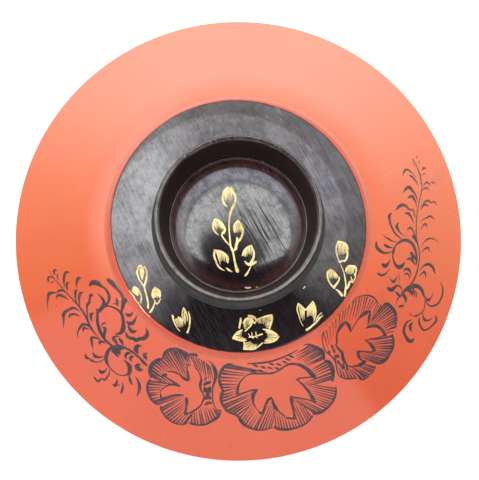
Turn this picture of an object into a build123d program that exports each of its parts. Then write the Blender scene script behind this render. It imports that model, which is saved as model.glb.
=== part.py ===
from build123d import *
import os
from math import acos, cos, degrees, radians, sqrt, tan

# Lacquer soup bowl with its lid, in millimetres. Both pieces are turned about Z from one block of wood each.
# The foot stands on Z = 0. Every outline is a chain of (radius, height) points, joined by lines and arcs.

# Bowl
MOUTH_RADIUS = 56.0
BOWL_WALL = 3.0  # at the rim
BOWL_FLOOR = 4.5  # wood between the foot recess and the inside of the bowl
BELLY_DROP = 2.5  # how far the outside's centre lies below the inside's, so the wall thickens downwards
RIM_BAND = 2.5  # upright stretch of the inside above its round
RIM_BEVEL = 1.0  # width of the sloped seat on the rim's outer edge
RIM_EASE = 0.4

# Foot ring under the bowl
FOOT_RADIUS = 26.2
FOOT_TAPER = 1.2  # how much narrower the neck is than the standing edge
FOOT_STANDING_WIDTH = 3.4
FOOT_RECESS_DEPTH = 5.0
FOOT_RECESS_TAPER = 1.2
FOOT_EASE = 0.4

# Lid
LID_OVERHANG = 4.0  # how far the lid's edge stands out past the bowl's mouth
LID_EDGE_WIDTH = 2.0
LID_EDGE_BAND = 1.3  # upright band above the lower edge
LID_EDGE_EASE = 0.5
SKIRT_SLOPE = 33.5  # degrees that the straight skirt rises towards the crown
SHOULDER_WIDTH = 7.0  # rounded stretch between the skirt and the step round the crown
SHOULDER_RISE = 3.1
CEILING_WALL = 3.6  # wood between the well and the underside
CEILING_ROUND = 12.0

# Crown, knob ring and well on top of the lid
CROWN_RADIUS = 33.3
CROWN_STEP_RUN = 1.2
CROWN_STEP_RISE = 0.85
CROWN_EDGE_EASE = 0.4
CROWN_RISE = 2.4
KNOB_BASE_RADIUS = 22.8
KNOB_HEIGHT = 7.7
KNOB_TAPER = 1.3
KNOB_LIP_WIDTH = 1.4
KNOB_LIP_EASE = 0.4
WELL_DEPTH = 10.1
WELL_TAPER = 2.4

SEAT_CLEARANCE = 0.15  # between the bevel on the bowl's rim and the lid's underside


def straight(*points):
    """The straight edges that join points in order."""
    return [Line(a, b) for a, b in zip(points, points[1:])]


def turned(*edges):
    """The solid that a closed outline of (radius, height) edges sweeps about Z."""
    return revolve(Plane.XZ * make_face(edges), axis=Axis.Z)


# Bowl: inside and outside are rounds about two centres on the axis, with an upright band up to the rim
inner_radius = MOUTH_RADIUS - BOWL_WALL
inner_bottom = FOOT_RECESS_DEPTH + BOWL_FLOOR
inner_centre = inner_bottom + inner_radius
outer_centre = inner_centre - BELLY_DROP
bowl_height = inner_centre + RIM_BAND
inner_round = CenterArc((0, inner_centre), inner_radius, -90, 90)

# The rim's outer edge has the slope of the lid's underside, which sits on it
seat_rise = tan(radians(SKIRT_SLOPE))
rim_seat = (MOUTH_RADIUS - RIM_BEVEL, bowl_height)
rim_outer = (MOUTH_RADIUS, bowl_height - RIM_BEVEL * seat_rise)
rim_inner = (inner_radius, bowl_height - RIM_EASE)
rim_inner_top = (inner_radius + RIM_EASE, bowl_height)

# Foot ring, tapered outside and inside, with eased standing edges
neck_radius = FOOT_RADIUS - FOOT_TAPER
neck = (neck_radius, outer_centre - sqrt(MOUTH_RADIUS**2 - neck_radius**2))
outer_round = CenterArc((0, outer_centre), MOUTH_RADIUS, 0, -degrees(acos(neck_radius / MOUTH_RADIUS)))
foot_outer = (FOOT_RADIUS, FOOT_EASE)
foot_outer_bottom = (FOOT_RADIUS - FOOT_EASE, 0)
foot_inner = (FOOT_RADIUS - FOOT_STANDING_WIDTH, FOOT_EASE)
foot_inner_bottom = (foot_inner[0] + FOOT_EASE, 0)
recess_edge = (foot_inner[0] - FOOT_RECESS_TAPER, FOOT_RECESS_DEPTH)

bowl = turned(
    inner_round,
    *straight((inner_radius, inner_centre), rim_inner, rim_inner_top, rim_seat, rim_outer),
    Line(rim_outer, (MOUTH_RADIUS, outer_centre)),
    outer_round,
    *straight(neck, foot_outer, foot_outer_bottom, foot_inner_bottom, foot_inner, recess_edge),
    *straight(recess_edge, (0, FOOT_RECESS_DEPTH), (0, inner_bottom)),
)

# Lid outside, with heights from its lower edge: edge band, straight skirt, shoulder, step up to the crown
lid_radius = MOUTH_RADIUS + LID_OVERHANG
edge_inner = (lid_radius - LID_EDGE_WIDTH, 0)
edge_bottom = (lid_radius - LID_EDGE_EASE, 0)
edge_outer = (lid_radius, LID_EDGE_EASE)
band_top = (lid_radius, LID_EDGE_BAND)
shoulder_radius = CROWN_RADIUS + CROWN_STEP_RUN + SHOULDER_WIDTH
skirt_top = (shoulder_radius, LID_EDGE_BAND + (lid_radius - shoulder_radius) * seat_rise)
skirt = Line(band_top, skirt_top)
step_foot = (CROWN_RADIUS + CROWN_STEP_RUN, skirt_top[1] + SHOULDER_RISE)
shoulder = TangentArc(skirt_top, step_foot, tangent=skirt % 1)
crown_side = (CROWN_RADIUS, step_foot[1] + CROWN_STEP_RISE)
crown_edge = (CROWN_RADIUS - CROWN_EDGE_EASE, crown_side[1] + CROWN_EDGE_EASE)

# Knob ring and the well inside it
knob_base = (KNOB_BASE_RADIUS, crown_edge[1] + CROWN_RISE)
lid_height = knob_base[1] + KNOB_HEIGHT
lip_outer = (KNOB_BASE_RADIUS - KNOB_TAPER, lid_height - KNOB_LIP_EASE)
lip_outer_top = (lip_outer[0] - KNOB_LIP_EASE, lid_height)
lip_inner = (lip_outer[0] - KNOB_LIP_WIDTH, lid_height - KNOB_LIP_EASE)
lip_inner_top = (lip_inner[0] + KNOB_LIP_EASE, lid_height)
well_edge = (lip_inner[0] - WELL_TAPER, lid_height - WELL_DEPTH)

# Underside: a cone parallel to the skirt, which is also the seat, rounded into a flat ceiling
ceiling_height = well_edge[1] - CEILING_WALL
ceiling_corner = (edge_inner[0] - ceiling_height / seat_rise, ceiling_height)
underside = FilletPolyline((0, ceiling_height), ceiling_corner, edge_inner, radius=CEILING_ROUND)

# The lid comes down until its underside is the seat clearance away from the bevel on the rim
seat_height = (edge_inner[0] - rim_seat[0]) * seat_rise
lid_edge_height = bowl_height + SEAT_CLEARANCE / cos(radians(SKIRT_SLOPE)) - seat_height

lid = Pos(0, 0, lid_edge_height) * turned(
    *straight(edge_inner, edge_bottom, edge_outer, band_top),
    skirt,
    shoulder,
    *straight(step_foot, crown_side, crown_edge, knob_base, lip_outer, lip_outer_top, lip_inner_top),
    *straight(lip_inner_top, lip_inner, well_edge, (0, well_edge[1]), (0, ceiling_height)),
    underside,
)

os.makedirs("parts", exist_ok=True)
for name, piece in {"bowl": bowl, "lid": lid}.items():
    export_step(piece, f"parts/{name}.step")

print(f"bowl {bowl_height:.3f} high, neck of the foot at {neck[1]:.3f}")
print(f"lid edge at {lid_edge_height:.3f}, crown edge {crown_edge[1]:.3f} and top {lid_height:.3f} above it")
print(f"rim reaches {bowl_height - lid_edge_height:.3f} up inside the lid")
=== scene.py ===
# %% [markdown]
# A lacquer soup bowl with its lid on, looked at from above. Both pieces are turned from one block of wood
# each, coated with red lacquer, and the top of the lid is coated once more in black. The painting on it is
# lacquer too: black strokes on the red, gold strokes on the black. The script takes the turned solids as a
# fixed frame and dresses each of them with a finer turned skin, finishes and brush strokes.

# %% Load the turned solids
from math import acos, ceil, cos, pi, radians, sin, sqrt, tan

import bpy
import numpy as np
from mathutils import Matrix, Vector


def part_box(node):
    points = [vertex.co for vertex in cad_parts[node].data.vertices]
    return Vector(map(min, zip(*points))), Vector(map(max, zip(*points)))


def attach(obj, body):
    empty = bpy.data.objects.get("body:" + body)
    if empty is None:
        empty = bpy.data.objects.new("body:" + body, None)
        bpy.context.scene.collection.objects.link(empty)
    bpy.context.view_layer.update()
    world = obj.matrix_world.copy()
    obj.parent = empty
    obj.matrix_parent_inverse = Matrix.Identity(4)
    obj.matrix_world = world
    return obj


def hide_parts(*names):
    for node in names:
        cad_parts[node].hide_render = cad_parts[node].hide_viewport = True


MM = 0.001


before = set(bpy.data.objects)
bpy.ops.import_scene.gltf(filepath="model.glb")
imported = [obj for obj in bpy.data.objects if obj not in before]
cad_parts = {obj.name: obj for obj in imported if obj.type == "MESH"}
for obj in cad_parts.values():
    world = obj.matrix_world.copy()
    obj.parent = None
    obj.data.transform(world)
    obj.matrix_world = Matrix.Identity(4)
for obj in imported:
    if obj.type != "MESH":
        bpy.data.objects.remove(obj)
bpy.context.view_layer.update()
lid_low, lid_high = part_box("lid")

# %% [markdown]
# The photograph looks down on the lid, a little from the painted side, through a long lens. How far the
# edge, the crown and the knob ring shift against each other gives the tilt; how much nearer circles grow
# gives the distance. A camera that stands there shows every later piece at its place in the photograph.

# %% Camera over the lid
IMAGE_HEIGHT_PX = 480
CAMERA_DISTANCE = 420 * MM
CAMERA_TILT = radians(9.87)
FOCAL_LENGTH_PX = 1556.5
SENSOR_HEIGHT = 36
AIM = Vector((0.3 * MM, -0.89 * MM, lid_low.z))

camera = bpy.data.objects.new("camera", bpy.data.cameras.new("camera"))
camera.data.sensor_fit = "VERTICAL"
camera.data.sensor_height = SENSOR_HEIGHT
camera.data.lens = FOCAL_LENGTH_PX * SENSOR_HEIGHT / IMAGE_HEIGHT_PX
camera.location = AIM + CAMERA_DISTANCE * Vector((0, -sin(CAMERA_TILT), cos(CAMERA_TILT)))
camera.rotation_euler = (CAMERA_TILT, 0, 0)
bpy.context.scene.collection.objects.link(camera)
bpy.context.scene.camera = camera
bpy.context.scene.view_settings.view_transform = "Standard"
print("lens in mm:", round(camera.data.lens, 1))

# %% [markdown]
# Finishes are node trees, and most of a tree is arithmetic on masks. A small class holds one socket and
# lets Python's own operators add the Math nodes, so that a mask reads like a formula. One method adds any
# other node: its settings are set first, then its sockets get a value or a link.


# %% Shader sockets that can be reckoned with
class Wire:
    """One output socket of a shader node."""

    def __init__(self, socket):
        self.socket = socket

    def node(self, kind, settings, inputs, output=0):
        """A new node in the same tree; settings are set first, then values or links go to its inputs."""
        tree = self.socket.id_data
        made = tree.nodes.new("ShaderNode" + kind)
        for name, value in settings.items():
            if name == "stops":
                stops = made.color_ramp.elements
                while len(stops) < len(value):
                    stops.new(1)
                for stop, (position, colour) in zip(stops, value):
                    stop.position = position
                    stop.color = (*colour, 1)
            else:
                setattr(made, name, value)
        for name, value in inputs.items():
            if isinstance(value, Wire):
                tree.links.new(value.socket, made.inputs[name])
            else:
                made.inputs[name].default_value = value
        return Wire(made.outputs[output]) if made.outputs else None

    def reckon(self, operation, first, second):
        """A Math node on two values."""
        return self.node("Math", {"operation": operation}, {0: first, 1: second})

    def __add__(self, other):
        return self.reckon("ADD", self, other)

    def __radd__(self, other):
        return self.reckon("ADD", other, self)

    def __sub__(self, other):
        return self.reckon("SUBTRACT", self, other)

    def __rsub__(self, other):
        return self.reckon("SUBTRACT", other, self)

    def __mul__(self, other):
        return self.reckon("MULTIPLY", self, other)

    def __rmul__(self, other):
        return self.reckon("MULTIPLY", other, self)

    def between(self, low, high):
        """A mask that rises softly from 0 at low to 1 at high."""
        ends = {"Value": self, "From Min": low, "From Max": high}
        return self.node("MapRange", {"interpolation_type": "SMOOTHSTEP"}, ends)

    def tint(self, bare, full):
        """A colour: bare where this mask is 0, full where it is 1."""
        return self.node("Mix", {"data_type": "RGBA"}, {"Factor": self, 6: bare, 7: full}, 2)

    def stretched(self, angle, scale):
        """These coordinates turned about Z and stretched, so that a texture on them is drawn out."""
        drawn = {"Vector": self, "Rotation": (0, 0, angle), "Scale": scale}
        return self.node("Mapping", {"vector_type": "TEXTURE"}, drawn)

    def axis(self, name):
        """One of the coordinates X, Y and Z."""
        return self.node("SeparateXYZ", {}, {"Vector": self}, name)

    def flat(self):
        """These coordinates without their height."""
        return self.node("VectorMath", {"operation": "MULTIPLY"}, {0: self, 1: (1, 1, 0)})

    def apart(self, spot):
        """How far these coordinates lie from a spot."""
        return self.node("VectorMath", {"operation": "DISTANCE"}, {0: self, 1: spot}, "Value")

    def aimed(self):
        """These coordinates as a direction of length 1."""
        return self.node("VectorMath", {"operation": "NORMALIZE"}, {0: self})

    def towards(self, way):
        """How much this direction points the same way: the cosine of the angle between them."""
        return self.node("VectorMath", {"operation": "DOT_PRODUCT"}, {0: self, 1: way}, "Value")

    def noise(self, size, detail=3, rough=0.55):
        """Cloudy values from 0 to 1, with blotches about size metres across."""
        cloudy = {"Vector": self, "Scale": 1 / size, "Detail": detail, "Roughness": rough}
        return self.node("TexNoise", {}, cloudy)


def first_wire(owner, coordinates):
    """Empties the node tree of a material or world and returns its coordinates to start from."""
    owner.use_nodes = True
    owner.node_tree.nodes.clear()
    return Wire(owner.node_tree.nodes.new("ShaderNodeTexCoord").outputs[coordinates])


def finished(name, place, inputs):
    """Closes a material's tree with a Principled shader."""
    shader = place.node("BsdfPrincipled", {}, inputs)
    place.node("OutputMaterial", {}, {"Surface": shader})
    print("finish:", name, "with", len(place.socket.id_data.nodes), "nodes")


# %% [markdown]
# Lacquer shows its room, so the room is made with care, as the world's own colour by direction. The red
# skirt mirrors a bright far wall, which fades and gets warmer to both sides, and a dim pale board on the
# near side. The crown mirrors a bluish ceiling with a window on the left, and the domed floor of the well
# mirrors a bright panel and the dark shape of whoever looks down. Overhead is measured from the direction
# that a level mirror would show, so that the rounded shoulder of the lid still sees the walls.

# %% Room
ROOM_GLOW = 2.3
FAR_WALL = [
    (0.20, (0.0, 0.0, 0.0)),
    (0.35, (0.06, 0.06, 0.04)),
    (0.50, (0.24, 0.24, 0.13)),
    (0.65, (0.41, 0.41, 0.25)),
    (0.80, (0.70, 0.70, 0.54)),
    (0.88, (0.90, 0.90, 0.77)),
    (0.97, (1.05, 1.05, 0.93)),
]
CEILING = [
    (0.36, (0.0, 0.0, 0.0)),
    (0.41, (0.15, 0.14, 0.15)),
    (0.47, (0.48, 0.46, 0.47)),
    (0.60, (0.74, 0.71, 0.76)),
    (0.66, (1.08, 1.05, 1.20)),
    (0.72, (0.98, 0.95, 1.08)),
    (0.80, (0.86, 0.82, 0.90)),
]
BOARD = (0.27, 0.27, 0.27, 1)
BOARD_WAY = (-0.284, -0.959, 0)
WINDOW = (1.62, 1.62, 1.68, 1)
WINDOW_ON_WALLS = 0.3
PANEL = (1.42, 1.43, 1.43, 1)
PANEL_ON_WALLS = 0.07
PANEL_RIM_SHADE = 0.6
PANEL_MIDDLE = (0, 0.08, 0)
ONLOOKER = (0.02, 0.018, 0.018, 1)
HEAD_MIDDLE = (-0.03, 0.07, 0)
BACK_MIDDLE = (0.02, -0.12, 0)
LEVEL_MIRROR = (0, sin(CAMERA_TILT), cos(CAMERA_TILT))

world = bpy.data.worlds.new("room")
bpy.context.scene.world = world
direction = first_wire(world, "Generated")
side = direction.axis("X")
ahead = direction.axis("Y")
farness = ahead * 0.5 + 0.5
level = direction.flat()
around = level.aimed()
overhead = direction.towards(LEVEL_MIRROR)
board = around.towards(BOARD_WAY).between(0.46, 0.52)
window = (1 - side.between(-0.42, -0.14)) * farness.between(0.34, 0.64)
panel_width = side.between(-0.37, -0.34) * (1 - side.between(0.27, 0.29))
panel_round = level.apart(PANEL_MIDDLE)
panel = panel_width * ahead.between(0.025, 0.045) * (1 - panel_round.between(0.235, 0.25))
panel_rim = panel_round.between(0.226, 0.24) * (1 - panel_round.between(0.25, 0.27))
panel_rim = panel_rim * ahead.between(0.08, 0.16)
head = 1 - level.apart(HEAD_MIDDLE).between(0.085, 0.135)
back = 1 - level.apart(BACK_MIDDLE).between(0.27, 0.31)
walls = board.tint(farness.node("ValToRGB", {"stops": FAR_WALL}, {"Fac": farness}), BOARD)
walls = (window * overhead.between(0.40, 0.80) * WINDOW_ON_WALLS).tint(walls, WINDOW)
walls = (side.between(0.3, 0.9) * PANEL_ON_WALLS).tint(walls, PANEL)
ceiling = window.tint(farness.node("ValToRGB", {"stops": CEILING}, {"Fac": farness}), WINDOW)
ceiling = panel.tint(back.tint(ceiling, ONLOOKER), PANEL)
ceiling = (panel_rim * PANEL_RIM_SHADE).tint(ceiling, ONLOOKER)
glow = overhead.between(0.85, 0.875).tint(walls, head.tint(ceiling, ONLOOKER))
room = glow.node("Background", {}, {"Color": glow, "Strength": ROOM_GLOW})
room.node("OutputWorld", {}, {"Surface": room})
print("room:", len(world.node_tree.nodes), "nodes")

# %% [markdown]
# Two area lamps fill in the light that a small room sends back from all its walls. More light in the room
# would do that too, but the lacquer would mirror it, so the lamps are kept out of the mirror.


# %% Lamps
def soft_lamp(name, towards, distance, width, height, radiance):
    """An area lamp in a direction from the lid, which looks at the lid with its width along X."""
    lamp = bpy.data.objects.new(name, bpy.data.lights.new(name, "AREA"))
    lamp.data.shape = "RECTANGLE"
    lamp.data.size = width
    lamp.data.size_y = height
    lamp.data.energy = radiance * pi * width * height
    away = Vector(towards).normalized()
    across = (Vector((1, 0, 0)) - away.x * away).normalized()
    turn = Matrix((across, away.cross(across), away)).transposed()
    lamp.location = AIM + distance * away
    lamp.rotation_euler = turn.to_euler()
    lamp.visible_camera = False
    lamp.visible_glossy = False
    bpy.context.scene.collection.objects.link(lamp)
    print("lamp:", name, round(lamp.data.energy, 2), "W")


soft_lamp("top_fill", (-0.1, 0.2, 0.97), distance=1.0, width=0.9, height=0.5, radiance=1.45)
soft_lamp("near_fill", (0, -0.65, 0.76), distance=1.0, width=0.8, height=0.6, radiance=3.05)

# %% [markdown]
# The table is white paper, so bright in the photograph that it has no edge. A floor of plain light would be
# as white but would take no shadow, so the paper is lit like the bowl, and only the camera and the gloss
# see some extra light of its own.

# %% Paper floor
FLOOR_HALF = 3.0
PAPER_SHADE = (0.86, 0.86, 0.86, 1)
PAPER_WHITE = (0.9, 0.9, 0.9, 1)
UNLIT = (0, 0, 0, 1)
PAPER_GLOW = (0.4, 0.4, 0.4, 1)

floor = bpy.data.objects.new("floor", bpy.data.meshes.new("floor"))
corners = [(x * FLOOR_HALF, y * FLOOR_HALF, 0) for x, y in ((-1, -1), (1, -1), (1, 1), (-1, 1))]
floor.data.from_pydata(corners, [], [(0, 1, 2, 3)])
bpy.context.scene.collection.objects.link(floor)

paper = bpy.data.materials.new("white_paper")
place = first_wire(paper, "Object")
rays = ("Is Camera Ray", "Is Glossy Ray", "Is Transmission Ray")
seen, mirrored, through = (place.node("LightPath", {}, {}, ray) for ray in rays)
grain = place.noise(2 * MM)
shown = (seen + mirrored + through).between(0, 1)
finished("white_paper", place, {
    "Base Color": grain.tint(PAPER_SHADE, PAPER_WHITE),
    "Roughness": 0.9,
    "Specular IOR Level": 0.0,
    "Emission Color": shown.tint(UNLIT, PAPER_GLOW),
    "Emission Strength": 1.0,
})
floor.data.materials.append(paper)

# %% [markdown]
# Turning makes round pieces from an outline, and so does this script: it spins (radius, height) points
# about Z. A Screw modifier would spin them too, but the rings are needed as numbers, to let the edge of the
# black wander and to lay the painting on. A turner eases every edge, because lacquer pulls away from a
# sharp one, so each corner of an outline gets its own small arc. Extra points close to the arcs keep the
# smooth shading of the flats from bending.


# %% Outlines with eased corners
def eased(corners):
    """An outline through (radius, height, ease) corners in mm, each rounded by an arc of radius ease."""
    places = [np.array(corner[:2], float) for corner in corners]
    outline = [places[0]]
    for before, corner, after, (_, _, ease) in zip(places, places[1:], places[2:], corners[1:]):
        back = (before - corner) / np.linalg.norm(before - corner)
        on = (after - corner) / np.linalg.norm(after - corner)
        opening = acos(back @ on)
        middle = corner + (back + on) / np.linalg.norm(back + on) * ease / sin(opening / 2)
        start = corner + back * ease / tan(opening / 2) - middle
        sweep = (pi - opening) * np.sign(back[1] * on[0] - back[0] * on[1])
        steps = max(8, ceil(ease * abs(sweep) / 0.4))
        for angle in np.linspace(0, sweep, steps + 1):
            turn = np.array([[cos(angle), -sin(angle)], [sin(angle), cos(angle)]])
            outline.append(middle + turn @ start)
    return supported(outline + [places[-1]])


def supported(outline, reach=0.15):
    """The outline with extra points near the ends of each long straight stretch."""
    points = [outline[0]]
    for a, b in zip(outline, outline[1:]):
        length = np.linalg.norm(b - a)
        if length > 4 * reach:
            points += [a + (b - a) * reach / length, b + (a - b) * reach / length]
        points.append(b)
    return np.array(points)


TURNS = 256
azimuth = np.linspace(0, 2 * pi, TURNS, endpoint=False)


def spun(outline, lift=0.0):
    """Rings of points in metres: one ring for each (radius, height) point in mm."""
    radius = outline[:, :1] * MM
    height = np.repeat((outline[:, 1:] + lift) * MM, TURNS, axis=1)
    return np.stack([radius * np.cos(azimuth), radius * np.sin(azimuth), height], axis=2)


def mesh_piece(name, points, faces, material, body):
    """A smooth mesh that rides on a body and takes the given finish."""
    piece = bpy.data.objects.new(name, bpy.data.meshes.new(name))
    piece.data.from_pydata([tuple(p) for p in points], [], faces)
    piece.data.shade_smooth()
    piece.data.materials.append(material)
    bpy.context.scene.collection.objects.link(piece)
    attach(piece, body)
    print("piece:", name, len(faces), "faces on", body)
    return piece


def turned_skin(name, rings, material, body):
    """A turned skin through rings, from the top axis outwards; a ring on the axis becomes one point."""
    points, index = [], []
    for ring in rings:
        on_axis = np.hypot(ring[0, 0], ring[0, 1]) < 1e-7
        index.append([len(points)] * TURNS if on_axis else list(range(len(points), len(points) + TURNS)))
        points += list(ring[:1]) if on_axis else list(ring)
    faces = []
    for upper, lower in zip(index, index[1:]):
        for k in range(TURNS):
            n = (k + 1) % TURNS
            faces.append(tuple(dict.fromkeys((upper[k], lower[k], lower[n], upper[n]))))
    piece = mesh_piece(name, points, faces, material, body)
    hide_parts(body)


# %% [markdown]
# Red lacquer is a body of pigment under a clear gloss. It has faint clouds where the coat is thinner, and
# dark and pale specks of dust that dried into it. On the lid a deeper line runs beside the black crown, and
# the step is tinted darker brown, less on the near side. A dark line in the corner at the foot of the step on
# the near side is painted shade with some dirt. Some dark paint was rubbed into the red on the right. A
# painted picture could hold all that, but it would have to be unwrapped onto the lid. Noise has no seam and
# gives the clouds and specks, and the distance from the axis or from a spot gives the rest. A high specular
# level gives the deep mirror of a polished coat.

# %% Red lacquer
THIN_RED = (0.532, 0.073, 0.028, 1)
FULL_RED = (0.613, 0.098, 0.040, 1)
SPECK_BROWN = (0.22, 0.03, 0.03, 1)
PALE_DUST = (0.85, 0.62, 0.50, 1)
DEEP_RED = (0.50, 0.020, 0.011, 1)
STEP_BROWN = (0.30, 0.05, 0.02, 1)
CORNER_SHADE_BROWN = (0.20, 0.03, 0.015, 1)
RUBBED_PURPLE = (0.34, 0.035, 0.06, 1)
RUBBED_PAINT = (51.7 * MM, 14.0 * MM, 0)
RED_GLOSS = 0.6


def red_lacquer(name, step=None):
    """Red lacquer; step gives the inner and outer radius of the step round the crown, in metres."""
    material = bpy.data.materials.new(name)
    place = first_wire(material, "Object")
    clouds = place.noise(22 * MM, 4)
    specks = place.noise(0.9 * MM, 1).between(0.73, 0.78)
    red = clouds.tint(THIN_RED, FULL_RED)
    red = (specks * 0.5).tint(red, SPECK_BROWN)
    dust = place.noise(0.7 * MM, 1).between(0.775, 0.80)
    red = (dust * 0.35).tint(red, PALE_DUST)
    gloss, matt = RED_GLOSS, 0.12 + 0.10 * clouds
    if step:
        inner, outer = step
        radius = place.flat().apart((0, 0, 0))
        patchy = place.noise(2.5 * MM, 4)
        line = 1 - radius.between(inner + 0.3 * MM, inner + 0.7 * MM)
        near = 1 - place.axis("Y").between(-16 * MM, 0)
        # A dark line of painted shade, with some dirt, in the corner at the foot of the step, on the near
        # side only.
        corner_shade = radius.between(outer - 0.1 * MM, outer + 0.1 * MM)
        corner_shade = corner_shade * (1 - radius.between(outer + 0.15 * MM, outer + 0.3 * MM)) * near
        # The step is tinted darker brown, less on the near side.
        step_tint = (1 - radius.between(outer - 0.6 * MM, outer + 0.4 * MM)) * (1 - 0.6 * near)
        red = (step_tint * (0.3 + 0.3 * patchy)).tint(red, STEP_BROWN)
        red = (line * 0.7).tint(red, DEEP_RED)
        # painted shade in the step's corner
        red = (corner_shade * patchy.between(0.35, 0.6) * 0.45).tint(red, CORNER_SHADE_BROWN)
        rubbed = 1 - place.flat().apart(RUBBED_PAINT).between(1 * MM, 5 * MM)
        red = (rubbed * patchy.between(0.48, 0.60) * 0.5).tint(red, RUBBED_PURPLE)
        gloss = RED_GLOSS - RED_GLOSS * line
        matt = matt + 0.25 * line
    skin = place.noise(3 * MM, 2)
    bump = skin.node("Bump", {}, {"Height": skin, "Strength": 0.08, "Distance": 0.1 * MM})
    finished(name, place, {
        "Base Color": red,
        "Roughness": matt,
        "Specular IOR Level": 1.0,
        "Coat Weight": gloss,
        "Coat Roughness": 0.08,
        "Normal": bump,
    })
    return material


# %% [markdown]
# The black coat was brushed on: fine streaks and broader ridges all run the same way and show in the
# reflections, which are also clouded where the polish is worn. The crown shines inside a circle that lies a
# little off the axis, and is duller outside it. The coat is thin in the corner of the well, where a brown
# red comes through, and along the lip on which the lid is stood when it is taken off, and on two sides its
# brushed edge is worn back to the red. Streaks cut into a mesh would take far too many faces, so they are
# bump from a noise that is drawn out along the brush. Height, radius and the distance from a spot place the
# wear.

# %% Black lacquer
BRUSH_ANGLE = radians(-63)
DEEP_BLACK = (0.0058, 0.0030, 0.0052)
THIN_BROWN = (0.020, 0.011, 0.010)
RUBBED_GREY = (0.050, 0.049, 0.054)
STREAK_BROWN = (0.030, 0.014, 0.012, 1)
SCUFF_GREY = (0.12, 0.115, 0.125, 1)
CORNER_RED = (0.040, 0.006, 0.005, 1)
LIP_BROWN = (0.09, 0.03, 0.022, 1)
FRINGE_RED = (0.11, 0.012, 0.010, 1)
BARE_RED = (0.50, 0.066, 0.028, 1)
SPOT_RED = (0.12, 0.02, 0.016, 1)
BLACK_EDGE = 33.3 * MM
WELL_EDGE = (15.5 * MM, 17.0 * MM)
WORN_WAY = (cos(radians(40)), sin(radians(40)), 0)
EDGE_WEAR = 0.75 * MM
POLISHED_MIDDLE = (-3.0 * MM, -1.8 * MM, 0)
POLISHED_RADIUS = 31.8 * MM
STAIN = (-24.4 * MM, -6.1 * MM, 0)
RED_SPOT = (4.3 * MM, 11.6 * MM, 0)


def black_lacquer(name, ground, polish, corner_radius, kept_height, worn_height):
    """Black lacquer on a ground colour, dull (polish 0) to bright (1), thin in a corner and on an edge."""
    material = bpy.data.materials.new(name)
    place = first_wire(material, "Object")
    level = place.flat()
    radius = level.apart((0, 0, 0))
    streaks = place.stretched(BRUSH_ANGLE, (16, 1, 1)).noise(0.5 * MM, 3, 0.6)
    clouds = place.noise(7 * MM, 5, 0.65)
    mottle = place.noise(1.8 * MM, 5, 0.7)
    thin = place.noise(2.2 * MM, 4)
    scuffs = place.stretched(BRUSH_ANGLE, (30, 1, 1)).noise(0.5 * MM, 2).between(0.58, 0.68)
    scuffs = scuffs * place.noise(11 * MM, 2).between(0.40, 0.58)
    scuffs = scuffs * place.axis("Y").between(-6 * MM, 14 * MM) * polish
    corner = (radius + 1.5 * MM * mottle).between(corner_radius - 2.9 * MM, corner_radius + 0.2 * MM)
    corner = corner * (1 - radius.between(corner_radius, corner_radius + 0.3 * MM))
    edge = place.axis("Z").between(kept_height, worn_height) * thin.between(0.5, 0.65)
    worn = level.aimed().towards(WORN_WAY)
    rim = radius + EDGE_WEAR * worn * worn + 0.3 * MM * thin
    fringe = rim.between(BLACK_EDGE, BLACK_EDGE + 0.25 * MM)
    bare = rim.between(BLACK_EDGE + 0.3 * MM, BLACK_EDGE + 0.42 * MM)
    rubbed = level.apart(POLISHED_MIDDLE) + 2.4 * MM * clouds
    rubbed = rubbed.between(POLISHED_RADIUS, POLISHED_RADIUS + 0.8 * MM)
    stain = (1 - level.apart(STAIN).between(0.6 * MM, 2.6 * MM)) * mottle.between(0.38, 0.55)
    spot = 1 - level.apart(RED_SPOT).between(0.3 * MM, 1.2 * MM)
    dark, light = ((*(share * np.array(ground)), 1) for share in (0.6, 1.4))
    black = clouds.tint(dark, light)
    black = (streaks.between(0.52, 0.66) * polish * 0.18).tint(black, STREAK_BROWN)
    black = (scuffs * 0.6).tint(black, SCUFF_GREY)
    black = (corner * thin.between(0.3, 0.6)).tint(black, CORNER_RED)
    black = (edge * 0.5).tint(black, LIP_BROWN)
    black = (fringe * thin.between(0.4, 0.6) * 0.4).tint(black, FRINGE_RED)
    black = bare.tint(black, BARE_RED)
    black = (spot * 0.6).tint(black, SPOT_RED)
    in_well = 1 - radius.between(*WELL_EDGE)
    ridges = place.stretched(BRUSH_ANGLE, (18, 1, 1)).noise(1.3 * MM, 2)
    skin = streaks + in_well * mottle + ridges * (9 - 5 * in_well)
    bump = skin.node("Bump", {}, {"Height": skin, "Strength": 0.25, "Distance": 0.05 * MM})
    bright = 0.28 + 0.35 * clouds.between(0.36, 0.60)
    bright = bright + 0.22 * streaks.between(0.36, 0.60) + 0.2 * mottle.between(0.38, 0.58)
    bright = bright * (1 - 0.5 * in_well * place.noise(2.6 * MM, 6, 0.75).between(0.46, 0.60))
    bright = bright * (1 - 0.8 * corner) * (1 - 0.45 * rubbed) * (1 - 0.6 * stain) * (1 - fringe) + 0.2 * bare
    finished(name, place, {
        "Base Color": black,
        "Roughness": 0.45 - 0.36 * polish + 0.08 * streaks + 0.15 * corner + 0.35 * fringe,
        "Specular IOR Level": 0.15 + 0.25 * polish,
        "Coat Weight": polish * bright,
        "Coat Roughness": 0.07,
        "Coat IOR": 2.0,
        "Normal": bump,
    })
    return material
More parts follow.
